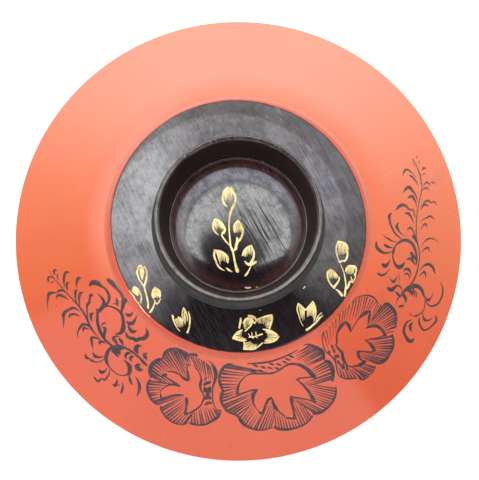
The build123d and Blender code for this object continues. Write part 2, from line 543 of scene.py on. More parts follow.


# %% [markdown]
# The lid is one turned piece: an edge that overhangs the bowl, a straight skirt, a rounded shoulder, a low
# step, the crown, and the knob ring with its well. The red coat covers all of it, and the black coat lies
# over the crown, ring and well. One red skin stops out of sight under the black, whose brushed edge wanders
# a little round the step. The black is six skins that join at turned edges: the well's floor with a bead
# round it, its brown wall, the lip, the neck under the lip, the knob's rubbed outer wall and the crown. Hands
# and tables polish them differently, and the neck is given the dull dark lacquer of the well's wall as
# painted shade under the overhanging lip. The floor is a low dome, which is why it mirrors so much of the
# room.

# %% Lid
LID_RADIUS = lid_high.x / MM
EDGE_HEIGHT = lid_low.z / MM
LID_HEIGHT = lid_high.z / MM - EDGE_HEIGHT
EDGE_WIDTH = 2.0
EDGE_BAND = 1.3
SKIRT_SLOPE = tan(radians(33.5))
SHOULDER_RADIUS = 38.26
SHOULDER_ROUND = 22.9
STEP_FOOT_RADIUS = 34.5
CROWN_RADIUS = 33.3
STEP_RISE = 0.85
CROWN_EASE = 0.4
CROWN_RISE = 2.4
KNOB_BASE_RADIUS = 22.8
KNOB_HEIGHT = 7.7
KNOB_TAPER = 1.3
KNOB_INSET = 0.7
NECK_HEIGHT = 1.0
LIP_WIDTH = 1.4
WELL_DEPTH = 10.1
WELL_TAPER = 2.4
WELL_DOME = 1.0
FLOOR_INSET = 0.45
FLOOR_RINGS = 40
BEAD_WIDTH = 0.85
BEAD_RISE = 0.5
BEAD_CREST = 0.35
LIP_EASE = 0.4
LIP_LEAN = 0.04
CEILING_WALL = 3.6
CEILING_ROUND = 12.0
RED_BELOW_BLACK = 0.1

shoulder_corner = (SHOULDER_RADIUS, EDGE_BAND + (LID_RADIUS - SHOULDER_RADIUS) * SKIRT_SLOPE)
crown_height = LID_HEIGHT - KNOB_HEIGHT - CROWN_RISE
step_foot_height = crown_height - CROWN_EASE - STEP_RISE
lip_radius = KNOB_BASE_RADIUS - KNOB_TAPER
well_height = LID_HEIGHT - WELL_DEPTH
ceiling_height = well_height - CEILING_WALL
ceiling_radius = LID_RADIUS - EDGE_WIDTH - ceiling_height / SKIRT_SLOPE

red_outline = eased([
    (CROWN_RADIUS - 1, crown_height - RED_BELOW_BLACK, 0),
    (CROWN_RADIUS - 0.05, crown_height - RED_BELOW_BLACK, 0.5),
    (STEP_FOOT_RADIUS, step_foot_height, 0.3),
    (*shoulder_corner, SHOULDER_ROUND),
    (LID_RADIUS, EDGE_BAND, 0.5),
    (LID_RADIUS, 0, 0.5),
    (LID_RADIUS - EDGE_WIDTH, 0, 0.4),
    (ceiling_radius, ceiling_height, CEILING_ROUND),
    (0, ceiling_height, 0),
])
lid_red = red_lacquer("lid_red_lacquer", (CROWN_RADIUS * MM, STEP_FOOT_RADIUS * MM))
turned_skin("lid_red_lacquer", spun(red_outline, EDGE_HEIGHT), lid_red, "lid")

floor_radius = lip_radius - LIP_WIDTH - WELL_TAPER - FLOOR_INSET
share = np.linspace(0, 1, FLOOR_RINGS)
dome_rise = WELL_DOME * (1 - 0.5 * share**2 - 0.5 * share**6)
well_floor = np.stack([floor_radius * share, well_height + dome_rise], axis=1)
bead_end = (floor_radius + BEAD_WIDTH, well_height + BEAD_RISE - 0.1)
bead = eased([
    (floor_radius, well_height, 0),
    (floor_radius + BEAD_CREST, well_height + BEAD_RISE, 0.2),
    (*bead_end, 0),
])
wall_top = (lip_radius - LIP_WIDTH - 0.1, LID_HEIGHT - 0.8)
well_wall = eased([
    (*bead_end, 0),
    (floor_radius + BEAD_WIDTH + 0.12, well_height + BEAD_RISE + 0.05, 0.1),
    (*wall_top, 0),
])
lip_foot = (lip_radius - LIP_EASE / 2, LID_HEIGHT - LIP_EASE / 2)
lip = eased([
    (*wall_top, 0),
    (lip_radius - LIP_WIDTH, LID_HEIGHT - LIP_EASE, 0.15),
    (lip_radius - LIP_WIDTH + LIP_EASE, LID_HEIGHT - LIP_LEAN, 0.15),
    (lip_radius - LIP_EASE, LID_HEIGHT, 0.15),
    (*lip_foot, 0),
])
knob_foot = (KNOB_BASE_RADIUS - KNOB_INSET, crown_height + CROWN_RISE + 0.1)
crown_start = (knob_foot[0] + 0.25, knob_foot[1] - 0.06)
neck_foot = (lip_radius + 0.04, LID_HEIGHT - NECK_HEIGHT)
neck = eased([
    (*lip_foot, 0),
    (lip_radius, LID_HEIGHT - LIP_EASE, 0.15),
    (*neck_foot, 0),
])
knob_wall = eased([
    (*neck_foot, 0),
    (*knob_foot, 0.25),
    (*crown_start, 0),
])
crown = eased([
    (*crown_start, 0),
    (CROWN_RADIUS, crown_height, 0.5),
    (CROWN_RADIUS + 0.2, crown_height - 0.35, 0),
])


def lid_lacquer(name, ground, polish):
    """Black lacquer that is thin in the corner of the well and worn on the lip."""
    kept_height = lid_high.z - 0.7 * MM
    worn_height = lid_high.z - 0.1 * MM
    return black_lacquer(name, ground, polish, floor_radius * MM, kept_height, worn_height)


lid_black = lid_lacquer("lid_black_lacquer", DEEP_BLACK, 1.0)
lip_black = lid_lacquer("lid_lip_lacquer", DEEP_BLACK, 0.78)
well_brown_and_neck_shade = lid_lacquer("lid_well_lacquer", THIN_BROWN, 0.0)
knob_grey = lid_lacquer("lid_knob_lacquer", RUBBED_GREY, 0.0)
black_pieces = {
    "lid_well_floor": (np.concatenate([well_floor, bead]), lid_black),
    "lid_well_wall": (well_wall, well_brown_and_neck_shade),
    "lid_knob_lip": (lip, lip_black),
    # The neck takes the dull dark lacquer of the well's wall as painted shade under the overhanging lip.
    "lid_knob_neck_shade": (neck, well_brown_and_neck_shade),
    "lid_knob_wall": (knob_wall, knob_grey),
}
for name, (outline, finish) in black_pieces.items():
    turned_skin(name, spun(outline, EDGE_HEIGHT), finish, "lid")
black_rings = spun(crown, EDGE_HEIGHT)
wander = 0.10 * np.sin(7 * azimuth + 1) + 0.08 * np.sin(19 * azimuth) + 0.06 * np.sin(41 * azimuth + 2)
step_fall = STEP_RISE / (STEP_FOOT_RADIUS - CROWN_RADIUS)
black_rings[-1, :, :2] *= 1 + (wander / CROWN_RADIUS)[:, None]
black_rings[-1, :, 2] -= wander * step_fall * MM
turned_skin("lid_black_crown", black_rings, lid_black, "lid")

# %% [markdown]
# The bowl hides under the lid, and shows as soon as the lid is lifted, so it is dressed as well. Its inside
# and outside are rounds about two centres on the axis, so that the wall thickens towards the foot, and the
# rim has a bevel on which the lid sits. It is red inside and out; the foot ring is black, as it usually is,
# because that part rubs on trays.

# %% Bowl
MOUTH_RADIUS = 56.0
BOWL_WALL = 3.0
BELLY_DROP = 2.5
RIM_BAND = 2.5
RIM_BEVEL = 1.0
FOOT_RADIUS = 26.2
FOOT_TAPER = 1.2
FOOT_WIDTH = 3.4
RECESS_DEPTH = 5.0
RECESS_TAPER = 1.2
BOWL_FLOOR = 4.5
FOOT_BLACK_WIDTH = 1.2
FOOT_BLACK_RISE = 0.55

inner_radius = MOUTH_RADIUS - BOWL_WALL
inner_centre = RECESS_DEPTH + BOWL_FLOOR + inner_radius
outer_centre = inner_centre - BELLY_DROP
bowl_height = inner_centre + RIM_BAND
neck_radius = FOOT_RADIUS - FOOT_TAPER
neck_height = outer_centre - sqrt(MOUTH_RADIUS**2 - neck_radius**2)


def round_wall(radius, centre, start, end):
    """Points along a round wall; angles are from straight down, in radians."""
    steps = np.linspace(start, end, 64)
    return np.stack([radius * np.sin(steps), centre - radius * np.cos(steps)], axis=1)


rim = eased([
    (inner_radius, inner_centre + 0.2, 0),
    (inner_radius, bowl_height, 0.5),
    (MOUTH_RADIUS - RIM_BEVEL, bowl_height, 0.3),
    (MOUTH_RADIUS, bowl_height - RIM_BEVEL * SKIRT_SLOPE, 0.4),
    (MOUTH_RADIUS, outer_centre + 0.2, 0),
])
inside = round_wall(inner_radius, inner_centre, 0, pi / 2)
outside = round_wall(MOUTH_RADIUS, outer_centre, pi / 2, np.arcsin(neck_radius / MOUTH_RADIUS))
bowl_outline = np.concatenate([inside, rim, outside])
bowl_outline[0, 0] = 0
turned_skin("bowl_red_lacquer", spun(bowl_outline), red_lacquer("bowl_red_lacquer"), "bowl")

foot_outline = eased([
    (neck_radius + FOOT_BLACK_WIDTH, neck_height + FOOT_BLACK_RISE, 0),
    (neck_radius, neck_height, 0.6),
    (FOOT_RADIUS, 0, 0.5),
    (FOOT_RADIUS - FOOT_WIDTH, 0, 0.5),
    (FOOT_RADIUS - FOOT_WIDTH - RECESS_TAPER, RECESS_DEPTH, 0.8),
    (0, RECESS_DEPTH, 0),
])
# The foot is worn towards its standing edge, so the kept height lies above the worn one
foot_black = black_lacquer("foot_black_lacquer", DEEP_BLACK, 0.6, neck_radius * MM, 0.7 * MM, 0.1 * MM)
turned_skin("bowl_black_foot", spun(foot_outline), foot_black, "bowl")

# %% [markdown]
# The painting is lacquer too: black strokes on the red, gold strokes on the black. A painter copies such a
# motif from squared paper, and so does this script. Each motif has a sheet that stands across the line of
# sight. Its strokes are counted off in squares, across and down, and each point is carried along the line
# of sight until it meets the lid. A projected picture would do that too, but a film of real strokes catches
# the light.

# %% From the squared sheets to the lid
EYE = np.array(camera.location) / MM
SHEET_MIDDLE = np.array(AIM) / MM
SHEET_RIGHT = np.array([1, 0, 0])
SHEET_UP = np.array([0, cos(CAMERA_TILT), sin(CAMERA_TILT)])
SIGHT_TRIES = 12

red_outside = red_outline[:np.argmax(red_outline[:, 0])]
bare_skirt = red_outside[red_outside[:, 0] > CROWN_RADIUS + 0.3]
lid_top = np.concatenate([well_floor, crown, bare_skirt])


def on_lid(places, rise):
    """Where lines of sight through places (right, up) on a sheet meet the raised top of the lid, in mm."""
    sight = SHEET_MIDDLE + places[:, :1] * SHEET_RIGHT + places[:, 1:] * SHEET_UP - EYE
    height = np.full(len(places), EDGE_HEIGHT + crown_height)
    for _ in range(SIGHT_TRIES):
        met = EYE + sight * ((height - EYE[2]) / sight[:, 2])[:, None]
        height = EDGE_HEIGHT + np.interp(np.hypot(met[:, 0], met[:, 1]), lid_top[:, 0], lid_top[:, 1])
    met[:, 2] = height + rise
    return met


print("lid top from", lid_top[0].round(2), "to", lid_top[-1].round(2))

# %% [markdown]
# A stroke of a pointed brush is a line whose width swells and tapers. A curve with a bevel would make it a
# round thread that stands up from the lacquer, so here it is a flat ribbon: a few dabs, each with a place
# and a width, joined by a smooth curve. The paint film is highest along the middle of the stroke and runs
# out flat at both sides, and a blunt start or end is round.

# %% The brush
DAB_STEP = 0.35
PAINT_FILM = 0.03
FINEST_HAIR = 0.06
ROUND_END = np.radians([80, 55, 25])


def flowing(dabs):
    """Points (right, up, width) close together on a smooth curve through a stroke's dabs, in mm."""
    along = np.concatenate([[0], np.cumsum(np.hypot(*np.diff(dabs[:, :2], axis=0).T))])
    slope = np.gradient(dabs, along, axis=0)
    places = np.linspace(0, along[-1], max(4, ceil(along[-1] / DAB_STEP)) + 1)
    i = np.clip(np.searchsorted(along, places, "right") - 1, 0, len(along) - 2)
    gap = (along[i + 1] - along[i])[:, None]
    t = (places - along[i])[:, None] / gap
    near = (1 + 2 * t) * (1 - t) ** 2 * dabs[i] + t * (1 - t) ** 2 * gap * slope[i]
    far = (3 - 2 * t) * t**2 * dabs[i + 1] - (1 - t) * t**2 * gap * slope[i + 1]
    return near + far


def brushed(dabs):
    """The left side, middle and right side of one stroke on its sheet, in mm."""
    path = flowing(dabs)
    width = np.maximum(path[:, 2], FINEST_HAIR)[:, None]
    way = np.gradient(path[:, :2], axis=0)
    way = way / np.linalg.norm(way, axis=1)[:, None]
    reach = np.sin(ROUND_END)[:, None] / 2
    narrow = np.cos(ROUND_END)[:, None]
    start = path[0, :2] - way[0] * width[0] * reach
    end = path[-1, :2] + way[-1] * width[-1] * reach[::-1]
    middle = np.concatenate([start, path[:, :2], end])
    width = np.concatenate([width[0] * narrow, width, width[-1] * narrow[::-1]])
    way = np.concatenate([way[[0, 0, 0]], way, way[[-1, -1, -1]]])
    side = np.stack([-way[:, 1], way[:, 0]], axis=1) * width / 2
    return middle + side, middle, middle - side


def painted(name, sheet, strokes, material, press=1.0):
    """One motif; a sheet is its corner's right and up and its square in mm, a dab (across, down, width)."""
    right, up, square = sheet
    points, faces = [], []
    for stroke in strokes:
        dabs = np.array(stroke, float) * (square, -square, press) + (right, up, 0)
        left, middle, other = brushed(dabs)
        count, base = len(middle), len(points)
        for line, rise in ((left, 0), (middle, PAINT_FILM), (other, 0)):
            points += list(on_lid(line, rise) * MM)
        for a in range(base, base + count - 1):
            b, c = a + count, a + 2 * count
            faces += [(b, b + 1, a + 1, a), (c, c + 1, b + 1, b)]
    mesh_piece(name, points, faces, material, "lid")


# %% [markdown]
# Flower petals and gold buds are filled with many strokes, side by side, which start heavy on an edge and
# run out thin towards the inside. They differ a little in length and weight, as strokes by hand do, so a
# loop draws them with a seeded chance. In a flower the strokes of a lobe all aim at one point beyond the
# star, and each stops where it meets the star's outline.

# %% Strokes side by side
hand = np.random.default_rng(5)


def along(line, shares):
    """Points at shares of the length of a line through points."""
    line = np.array(line, float)[:, :2]
    steps = np.hypot(*np.diff(line, axis=0).T)
    reached = np.concatenate([[0], np.cumsum(steps)]) / steps.sum()
    return np.stack([np.interp(shares, reached, line[:, k]) for k in (0, 1)], axis=1)


def hand_spaced(count):
    """Shares of a length that are about evenly apart."""
    return (np.arange(count) + hand.uniform(0.36, 0.64, count)) / count


def hatched(starts, goals, widths):
    """Strokes from starts towards goals, with widths in mm at the start, in the middle and at the end."""
    strokes = []
    for start, goal in zip(starts, goals):
        goal = start + (goal - start) * hand.uniform(0.86, 1.0)
        middle = (start + goal) / 2 + hand.normal(0, 0.2, 2)
        press = hand.uniform(0.8, 1.15)
        strokes.append([(*dab, press * width) for dab, width in zip((start, middle, goal), widths)])
    return strokes


def filled(edge, inside, count, width):
    """Strokes from an edge to a line inside it, which leave gaps at their ends."""
    shares = hand_spaced(count)
    return hatched(along(edge, shares), along(inside, shares), (width, 0.7 * width, 0.25 * width))


def petals(fills):
    """The strokes of several petals, each given by edge, line inside, number of strokes and width."""
    return [stroke for fill in fills for stroke in filled(*fill)]


def met_star(start, aim, star):
    """Where the way from start to the point aimed at first meets the star's outline."""
    way = aim - start
    a, b = star[:-1] - start, star[1:] - start
    side_a, side_b = (way[0] * p[:, 1] - way[1] * p[:, 0] for p in (a, b))
    crossed = side_a * side_b < 0
    a, b, side_a, side_b = (values[crossed] for values in (a, b, side_a, side_b))
    met = (a + (b - a) * (side_a / (side_a - side_b))[:, None]) @ way / (way @ way)
    return start + way * met[met > 0].min(initial=1)


def frilled(lobes, aims, star, gap, width):
    """Strokes from the edges of a flower's lobes to its star; the gap between strokes is in squares."""
    outline = np.concatenate([np.array(stroke)[:, :2] for stroke in star + star[:1]])
    strokes = []
    for lobe, aim in zip(lobes, aims):
        length = np.hypot(*np.diff(np.array(lobe)[:, :2], axis=0).T).sum()
        starts = along(lobe, hand_spaced(round(length / gap)))
        goals = [met_star(start, np.array(aim), outline) for start in starts]
        strokes += hatched(starts, goals, (1.45 * width, 0.9 * width, 0.22 * width))
    return strokes


def dabbed(places, length, fall, width):
    """Short leaf-shaped dabs about places, all sloping the same way."""
    tip = width / 2
    return [[(x - length, y - fall, tip), (x, y, width), (x + length, y + fall, tip)] for x, y in places]


# %% [markdown]
# Black paint on the red lies thin in patches, where it looks brown, and it has less gloss than the coat
# below it. Gold is powder that was sprinkled on wet lacquer: pale and grainy where it is thick, brown where
# it is rubbed. Paints differ in colour, shine and grain only, so one function makes them all.


# %% Paints
def paint(name, thin, full, metallic, roughness, grain):
    """Paint that lies in thin and full patches, with grains about as wide as grain."""
    material = bpy.data.materials.new(name)
    place = first_wire(material, "Object")
    patches = place.noise(1.6 * MM, 4).between(0.3, 0.6)
    grains = place.noise(grain, 2)
    bump = grains.node("Bump", {}, {"Height": grains, "Strength": 0.2, "Distance": 0.02 * MM})
    finished(name, place, {
        "Base Color": (patches * (0.6 + 0.8 * grains)).tint((*thin, 1), (*full, 1)),
        "Metallic": metallic,
        "Roughness": roughness + 0.15 * grains,
        "Specular IOR Level": 0.6,
        "Normal": bump,
    })
    return material


black_paint = paint("black_paint", (0.095, 0.034, 0.046), (0.032, 0.025, 0.032), 0.0, 0.3, 0.4 * MM)
gold_paint = paint("gold_paint", (0.54, 0.39, 0.15), (0.84, 0.68, 0.33), 0.3, 0.4, 0.25 * MM)

# %% [markdown]
# A vine runs along the right of the skirt, from its tip near the far edge to the flowers on the near side.
# It has a thin stem, curled leaves in pairs and two open seed rings with a fringe. One leaf could be drawn
# and repeated, but no two are alike, so each stroke is drawn on its own.

# %% Right vine
RIGHT_VINE_SHEET = (24.42, 26.98, 0.2237)
right_vine = [
    [(105.5, 18, .15), (104, 21.5, .25)],
    [(100, 23.5, .35), (103.5, 28.5, .2)],
    [(100, 28, .25), (102.5, 31, .15)],
    [(108, 25, .25), (107, 29, .15)],
    [(103.5, 29, .2), (106, 35, .3), (109, 43, .4), (110, 50, .3), (111, 58, .27), (110, 64, .27),
     (107.5, 75, .27), (104.5, 95, .27), (104, 110, .3), (104.5, 120, .3), (107, 130, .3), (108, 140, .3),
     (106.5, 152, .35), (105, 158.6, .4), (102.5, 165.6, .45), (98, 173.6, .45), (88, 183.6, .4)],
    [(104, 45, .1), (97, 38, .35), (92, 35.5, .65), (89, 39, .5), (88, 43, .1)],
    [(96.5, 43, .5), (98.5, 44, .6), (101.5, 47, .5), (105, 52, .3), (107, 55.5, .1)],
    [(88.5, 64, .1), (91, 59.5, .7), (95, 57, 1.0), (100, 62, .6), (104, 68, .35), (105.5, 74, .1)],
    [(94.5, 69.5, .4), (98.5, 67.8, .85), (102.5, 73, .5), (105, 81, .1)],
    [(79.5, 85, .2), (83, 80.5, .85), (89, 78.2, .85), (94, 82, .55), (97, 84.5, .5), (99, 83.5, .4),
     (102, 90, .3), (103.5, 94, .1)],
    [(91, 88.5, .4), (93.5, 88.2, .7), (97.5, 92, .5), (101, 101, .1)],
    [(74, 88.5, .4), (71.7, 91, .75), (72, 97, .65), (74.5, 105, .5), (79, 113, .45), (86, 119.5, .35)],
    [(82.5, 100, .3), (80.5, 103, .75), (82.5, 108.5, .6), (86, 113, .3), (93, 116.5, .1)],
    [(93, 108.5, .15), (97, 105.5, .65), (100, 109, .4), (102, 115, .4), (104.5, 121, .5),
     (105.5, 126, .3)],
    [(100, 116, .6), (103, 120, .6), (105, 124, .3)],
    [(111.5, 37, .15), (113, 33.5, .65), (115.5, 34.5, .3)],
    [(111.5, 43, .1), (113.5, 40.5, .3), (116, 41, .15)],
    [(112.5, 56, .1), (115, 52, .35), (117, 50.7, .5), (119.5, 53, .25), (122, 53.5, .1)],
    [(122, 51.3, .2), (124, 51, .4), (126, 54, .1)],
    [(111.5, 60.5, .1), (114, 58.3, .4), (116, 57.5, .5), (119, 60.5, .1)],
    [(109, 81, .1), (113, 76, .35), (118, 73, .6), (122, 75.7, .3), (125.5, 74.3, .45), (129, 78.5, .1)],
    [(109.5, 84.5, .1), (112, 80, .4), (115, 77.7, .6), (119, 81, .1)],
    [(109.5, 99, .1), (113, 95.5, .3), (117, 93.7, .4), (120.5, 91.7, .55), (126, 95.5, .2)],
    [(109, 108, .1), (112, 103.5, .3), (115, 101, .6), (117.5, 105.5, .1)],
    [(110.5, 129, .1), (114, 122.5, .25), (119, 119, .45), (124, 119, .35), (132, 124, .1)],
    [(109.5, 137, .1), (113, 132.5, .35), (118, 129.7, .6), (120, 134.5, .15)],
    [(108, 158, .1), (112, 152.6, .4), (119, 149.8, .85), (124, 153.6, .7), (126.5, 160.6, .35)],
    [(107.5, 164.6, .1), (111, 160.8, .4), (113.5, 159, .65), (116, 166.6, .1)],
]
right_upper_ring = [
    [(77, 137, .3), (79, 128, .4), (85, 122.5, .7), (92, 120.7, .9), (99, 125, .8), (103, 133, .65),
     (104.5, 142, .6), (104, 150, .4)],
    [(77, 130, .3), (75.5, 137, .35), (77, 146, .5), (80, 151.5, .8), (83.5, 153.5, 1.2), (88, 150.5, .8),
     (90.8, 146.8, .1)],
    [(98, 136, .7), (100, 140, 1.0), (103, 143, .7)],
    [(93.5, 144, .5), (97, 143, .85), (101, 148, .5), (103, 151.5, .1)],
    [(64, 114, .15), (67, 117.5, .3), (71, 119.5, .55), (75, 122, .35), (80, 122.5, .15)],
    [(66, 126.5, .6), (68.5, 128, .85), (72, 129.5, .5), (76.5, 130, .15)],
    [(56, 122.5, .3), (56, 128, .85), (61, 134, .85), (64.5, 136, .75), (72, 135.5, .4), (76, 134, .2)],
    [(63.5, 150, .7), (66, 152, 1.2), (70, 149, .6), (73, 143.5, .1)],
    [(58, 161, .6), (62, 163.3, .75), (66.5, 161.5, .5), (72, 155.5, .1)],
    [(72, 166.5, .1), (74.5, 169.5, .5), (76.5, 171.3, .8), (79, 168.5, .5), (81, 163.5, .1)],
    [(88.5, 159, .2), (91.5, 155.5, .7), (94.5, 156, .8), (97, 160, .4), (97.5, 164, .1)],
    [(89.5, 163, .2), (92, 160.7, .5), (95, 163, .4), (96, 168, .1)],
    [(82.5, 159, .1), (83.5, 166, .2), (83, 172, .15)],
    [(70.5, 179, .9), (74, 181, 1.1), (78, 177.5, .8), (82.5, 175.4, .5), (86, 179, .35), (87, 183, .2)],
    [(79, 183, .3), (82, 186, .7), (85, 189.5, .4)],
]
right_lower_ring = [
    [(88, 184.5, .6), (92, 180, .9), (98, 177, 1.3), (104, 176, 1.2), (110, 180, .9), (113, 187, .6),
     (114, 190, .3)],
    [(96, 180, .7), (99, 184, .6), (99.5, 189, .1)],
    [(100.5, 180, .5), (102, 186, .4), (102, 191, .1)],
    [(103.5, 182, .3), (104.5, 188, .25), (104, 191, .1)],
    [(94, 181.5, .5), (97, 184.5, .4), (98, 187.5, .1)],
    [(87, 186, .7), (90, 188.5, .9), (91.5, 193, .6), (90, 197, .1)],
    [(86, 187, .4), (82, 191, .3), (80, 198, .1)],
    [(83, 201.5, .3), (86, 200.2, .75), (89, 200, .4)],
    [(114, 189, .2), (114.5, 197, .25), (112.5, 206, .3), (109, 209.5, .4), (104, 212, .5),
     (101, 212.5, .3)],
    [(96, 208.6, .15), (98.5, 211.6, .35)],
    [(114.5, 188, .1), (116.5, 191.5, .5), (118.5, 193.3, .8), (121.5, 190.5, .4), (125, 184.5, .1)],
    [(133, 171.6, .15), (135.5, 177, .35), (136, 184, .45), (134, 191, .45), (130, 197.5, .5),
     (126.5, 199.5, .55), (122, 200.3, .5), (117.5, 197.5, .4), (115, 193, .15)],
    [(111.5, 208, .1), (112.5, 213, .4), (114.5, 217.3, .7), (119, 217.5, .5), (123.5, 214.5, .15)],
    [(127, 212, .3), (128.5, 216.5, .65), (124, 223, .5), (118, 228, .5), (113.5, 229.5, .5),
     (109.5, 225, .6), (107.5, 219, .5), (108, 213.5, .15)],
    [(98.5, 217, .2), (93.5, 219, .45), (90, 225, .6), (89, 231.5, .7), (92, 238, .8), (95, 242, 1.1),
     (98.5, 242.5, 1.0), (101, 240, .5)],
    [(99.5, 220, .2), (96.8, 224, .9), (97, 228, .7), (98.5, 231.5, .1)],
]
right_strokes = right_vine + right_upper_ring + right_lower_ring
painted("right_vine", RIGHT_VINE_SHEET, right_strokes, black_paint)

# %% [markdown]
# The vine on the left answers it: the same kind of stem and leaves, with two rings and broad curls over the
# upper one. The right vine could be mirrored, but the strokes are heavier here, as if from a freshly loaded
# brush, so it is drawn anew.

# %% Left vine
LEFT_VINE_SHEET = (-53.83, -5.40, 0.2237)
left_vine = [
    [(11, 12, .1), (15, 19, .2), (20, 26, .25), (27, 34, .3), (33, 41, .35), (39, 47, .4), (45, 53.5, .45),
     (50, 60, .5), (54.5, 67, .55), (57.5, 73, .6), (60, 80, .6), (65, 87.5, .35), (72, 95, .2)],
    [(60.5, 78, .15), (65, 85, .12), (68, 89, .08)],
    [(18, 19, .1), (17, 14.5, .6), (17.5, 12, .7), (20.8, 13, .2)],
    [(22, 24.5, .1), (21, 20, .4), (21, 17.5, .4), (22.5, 17.5, .2)],
    [(29.5, 33, .1), (28.7, 24, .65), (29.5, 18.5, .8), (32, 14.5, .7), (36, 15.3, .15)],
    [(33.5, 37.5, .1), (32.3, 32, .55), (33, 27.5, .6), (35.3, 26.8, .25)],
    [(44.7, 34, .1), (44, 28.5, .5), (44.8, 25, .85), (47.3, 21.5, .75), (49.3, 22, .3)],
    [(44.5, 52, .15), (42.7, 46, .45), (42.7, 40, .65), (43.2, 36.5, .55), (45, 37, .25)],
    [(48.3, 57, .1), (47.3, 49, .5), (47.5, 43, .75), (49.5, 39.3, .7), (52, 39.5, .2)],
    [(58, 78, .35), (57, 68, .4), (56.7, 59, .4), (57, 54, .7), (59.5, 51, .8), (60, 46, .6),
     (61.5, 42, .9), (64.8, 43.7, .15)],
    [(62.8, 75, .1), (61.3, 69, .75), (62, 65, .9), (64.8, 64.3, .25)],
    [(16.5, 22, .2), (13, 20.3, .5), (10.3, 20.5, .6), (9.8, 24, .6), (10.2, 27.5, .1)],
    [(17.5, 27.3, .08), (15, 26, .4), (13, 28.7, .1)],
    [(29.5, 38, .3), (26, 36.5, .6), (23, 37, .7), (20, 39, .3), (15.5, 39.5, .6), (11, 40.5, 1.0),
     (9.7, 45, .7), (9, 52, .35), (9.8, 61, .08)],
    [(35, 48.3, .08), (29, 44.5, .55), (22, 42.5, .8), (20.3, 43.5, .6), (20.3, 47, .12)],
    [(47.8, 62.3, .1), (43.5, 58.8, .5), (39, 57.8, .8), (35, 60, .8), (30.5, 62.5, .9), (28.3, 66, .9),
     (28.5, 72, .6), (28.4, 82, .06)],
    [(48.7, 69, .08), (44.5, 66.3, .4), (40, 65.3, .6), (36.3, 66.5, .8), (35, 70, .15)],
    [(60, 80.5, .3), (55.5, 78, .6), (51.5, 77.8, .8), (48.5, 81, .7), (46, 86, .4), (45, 90, .3),
     (45.5, 94, .08)],
    [(59, 84, .15), (55.5, 82.3, .6), (53, 82, .9), (52, 87, .12)],
    [(72.5, 96, .2), (67, 94, .5), (62, 93.5, .7), (62.3, 98, .7), (64, 109, .06)],
    [(80, 101, .1), (76, 98.8, .6), (72, 98.7, .8), (72.5, 103, .1)],
]
left_upper_ring = [
    [(69.5, 63, .8), (69, 70, .85), (70, 78, .85), (73, 87, .9), (77.5, 95, .7), (83, 100.5, .6),
     (88, 104.5, .5)],
    [(69.5, 63, .9), (73, 59.5, 1.1), (77.5, 56, .9), (83, 55.5, .4), (89, 57.5, .55), (95, 61, .65),
     (98.5, 65, .8), (100, 71, .9), (100.5, 78, 1.1), (100, 84, 1.3), (97, 88, 1.0), (91, 89.5, .35)],
    [(68.5, 59.5, .5), (70, 62, .5)],
    [(74.5, 80, .25), (75.5, 77, .4), (78.5, 75.8, .35), (80.5, 76.5, .1)],
    [(76, 81.5, .4), (78.5, 82.5, .9), (78, 87, .8), (77.5, 91, .7), (78.5, 95, .3)],
    [(60, 31, .5), (62, 28, 1.2), (66, 27, 1.5), (70, 28.5, 1.3), (74, 31.5, .7), (78.5, 34.5, .6),
     (82, 39.5, .7), (83.5, 45, .8), (82.5, 50, .7), (80, 54, .6)],
    [(68.5, 39.5, .08), (73, 44, .5), (76.5, 49, .8), (77, 53, 1.0), (74, 58, 1.0)],
    [(82.5, 24, 1.1), (86, 27, 1.3), (90, 31.5, 1.1), (94, 36, .75), (97.5, 40.5, .7), (100, 46, .95),
     (100.5, 52, 1.1), (99.5, 58, .9), (98.5, 62, .6)],
    [(103, 46.5, .5), (104, 49.5, .7), (102.5, 52, .4)],
    [(88, 52.5, .06), (91.5, 53, .5), (94, 55, .3)],
    [(92.5, 46, .3), (93, 50.5, .8), (94, 55, .3)],
    [(103, 64.5, .3), (106, 66.5, 1.0), (109, 66.5, .9), (111.5, 63, .3)],
    [(104, 73.5, .2), (107, 76, .8), (111, 76.5, 1.2), (114, 73, .7), (117, 66.5, .1)],
    [(106.5, 78.5, .4), (108, 82.5, .8), (111.5, 86.5, 1.1), (116.5, 85.5, .3)],
    [(103.5, 87, .3), (105.5, 92, .9), (109, 94.5, .9), (112.5, 94.5, .9), (116, 97, 1.0), (120, 95, 1.0),
     (125, 94.5, 1.2), (129, 90.5, 1.2), (129.5, 87, .9), (127.5, 82, .15)],
    [(95, 92.5, .3), (91, 92, .5), (88.5, 94, .9), (91, 98, .9), (93.5, 102.5, .4)],
    [(95.5, 94.5, .5), (98, 98, .9), (100.5, 102.5, .3)],
]
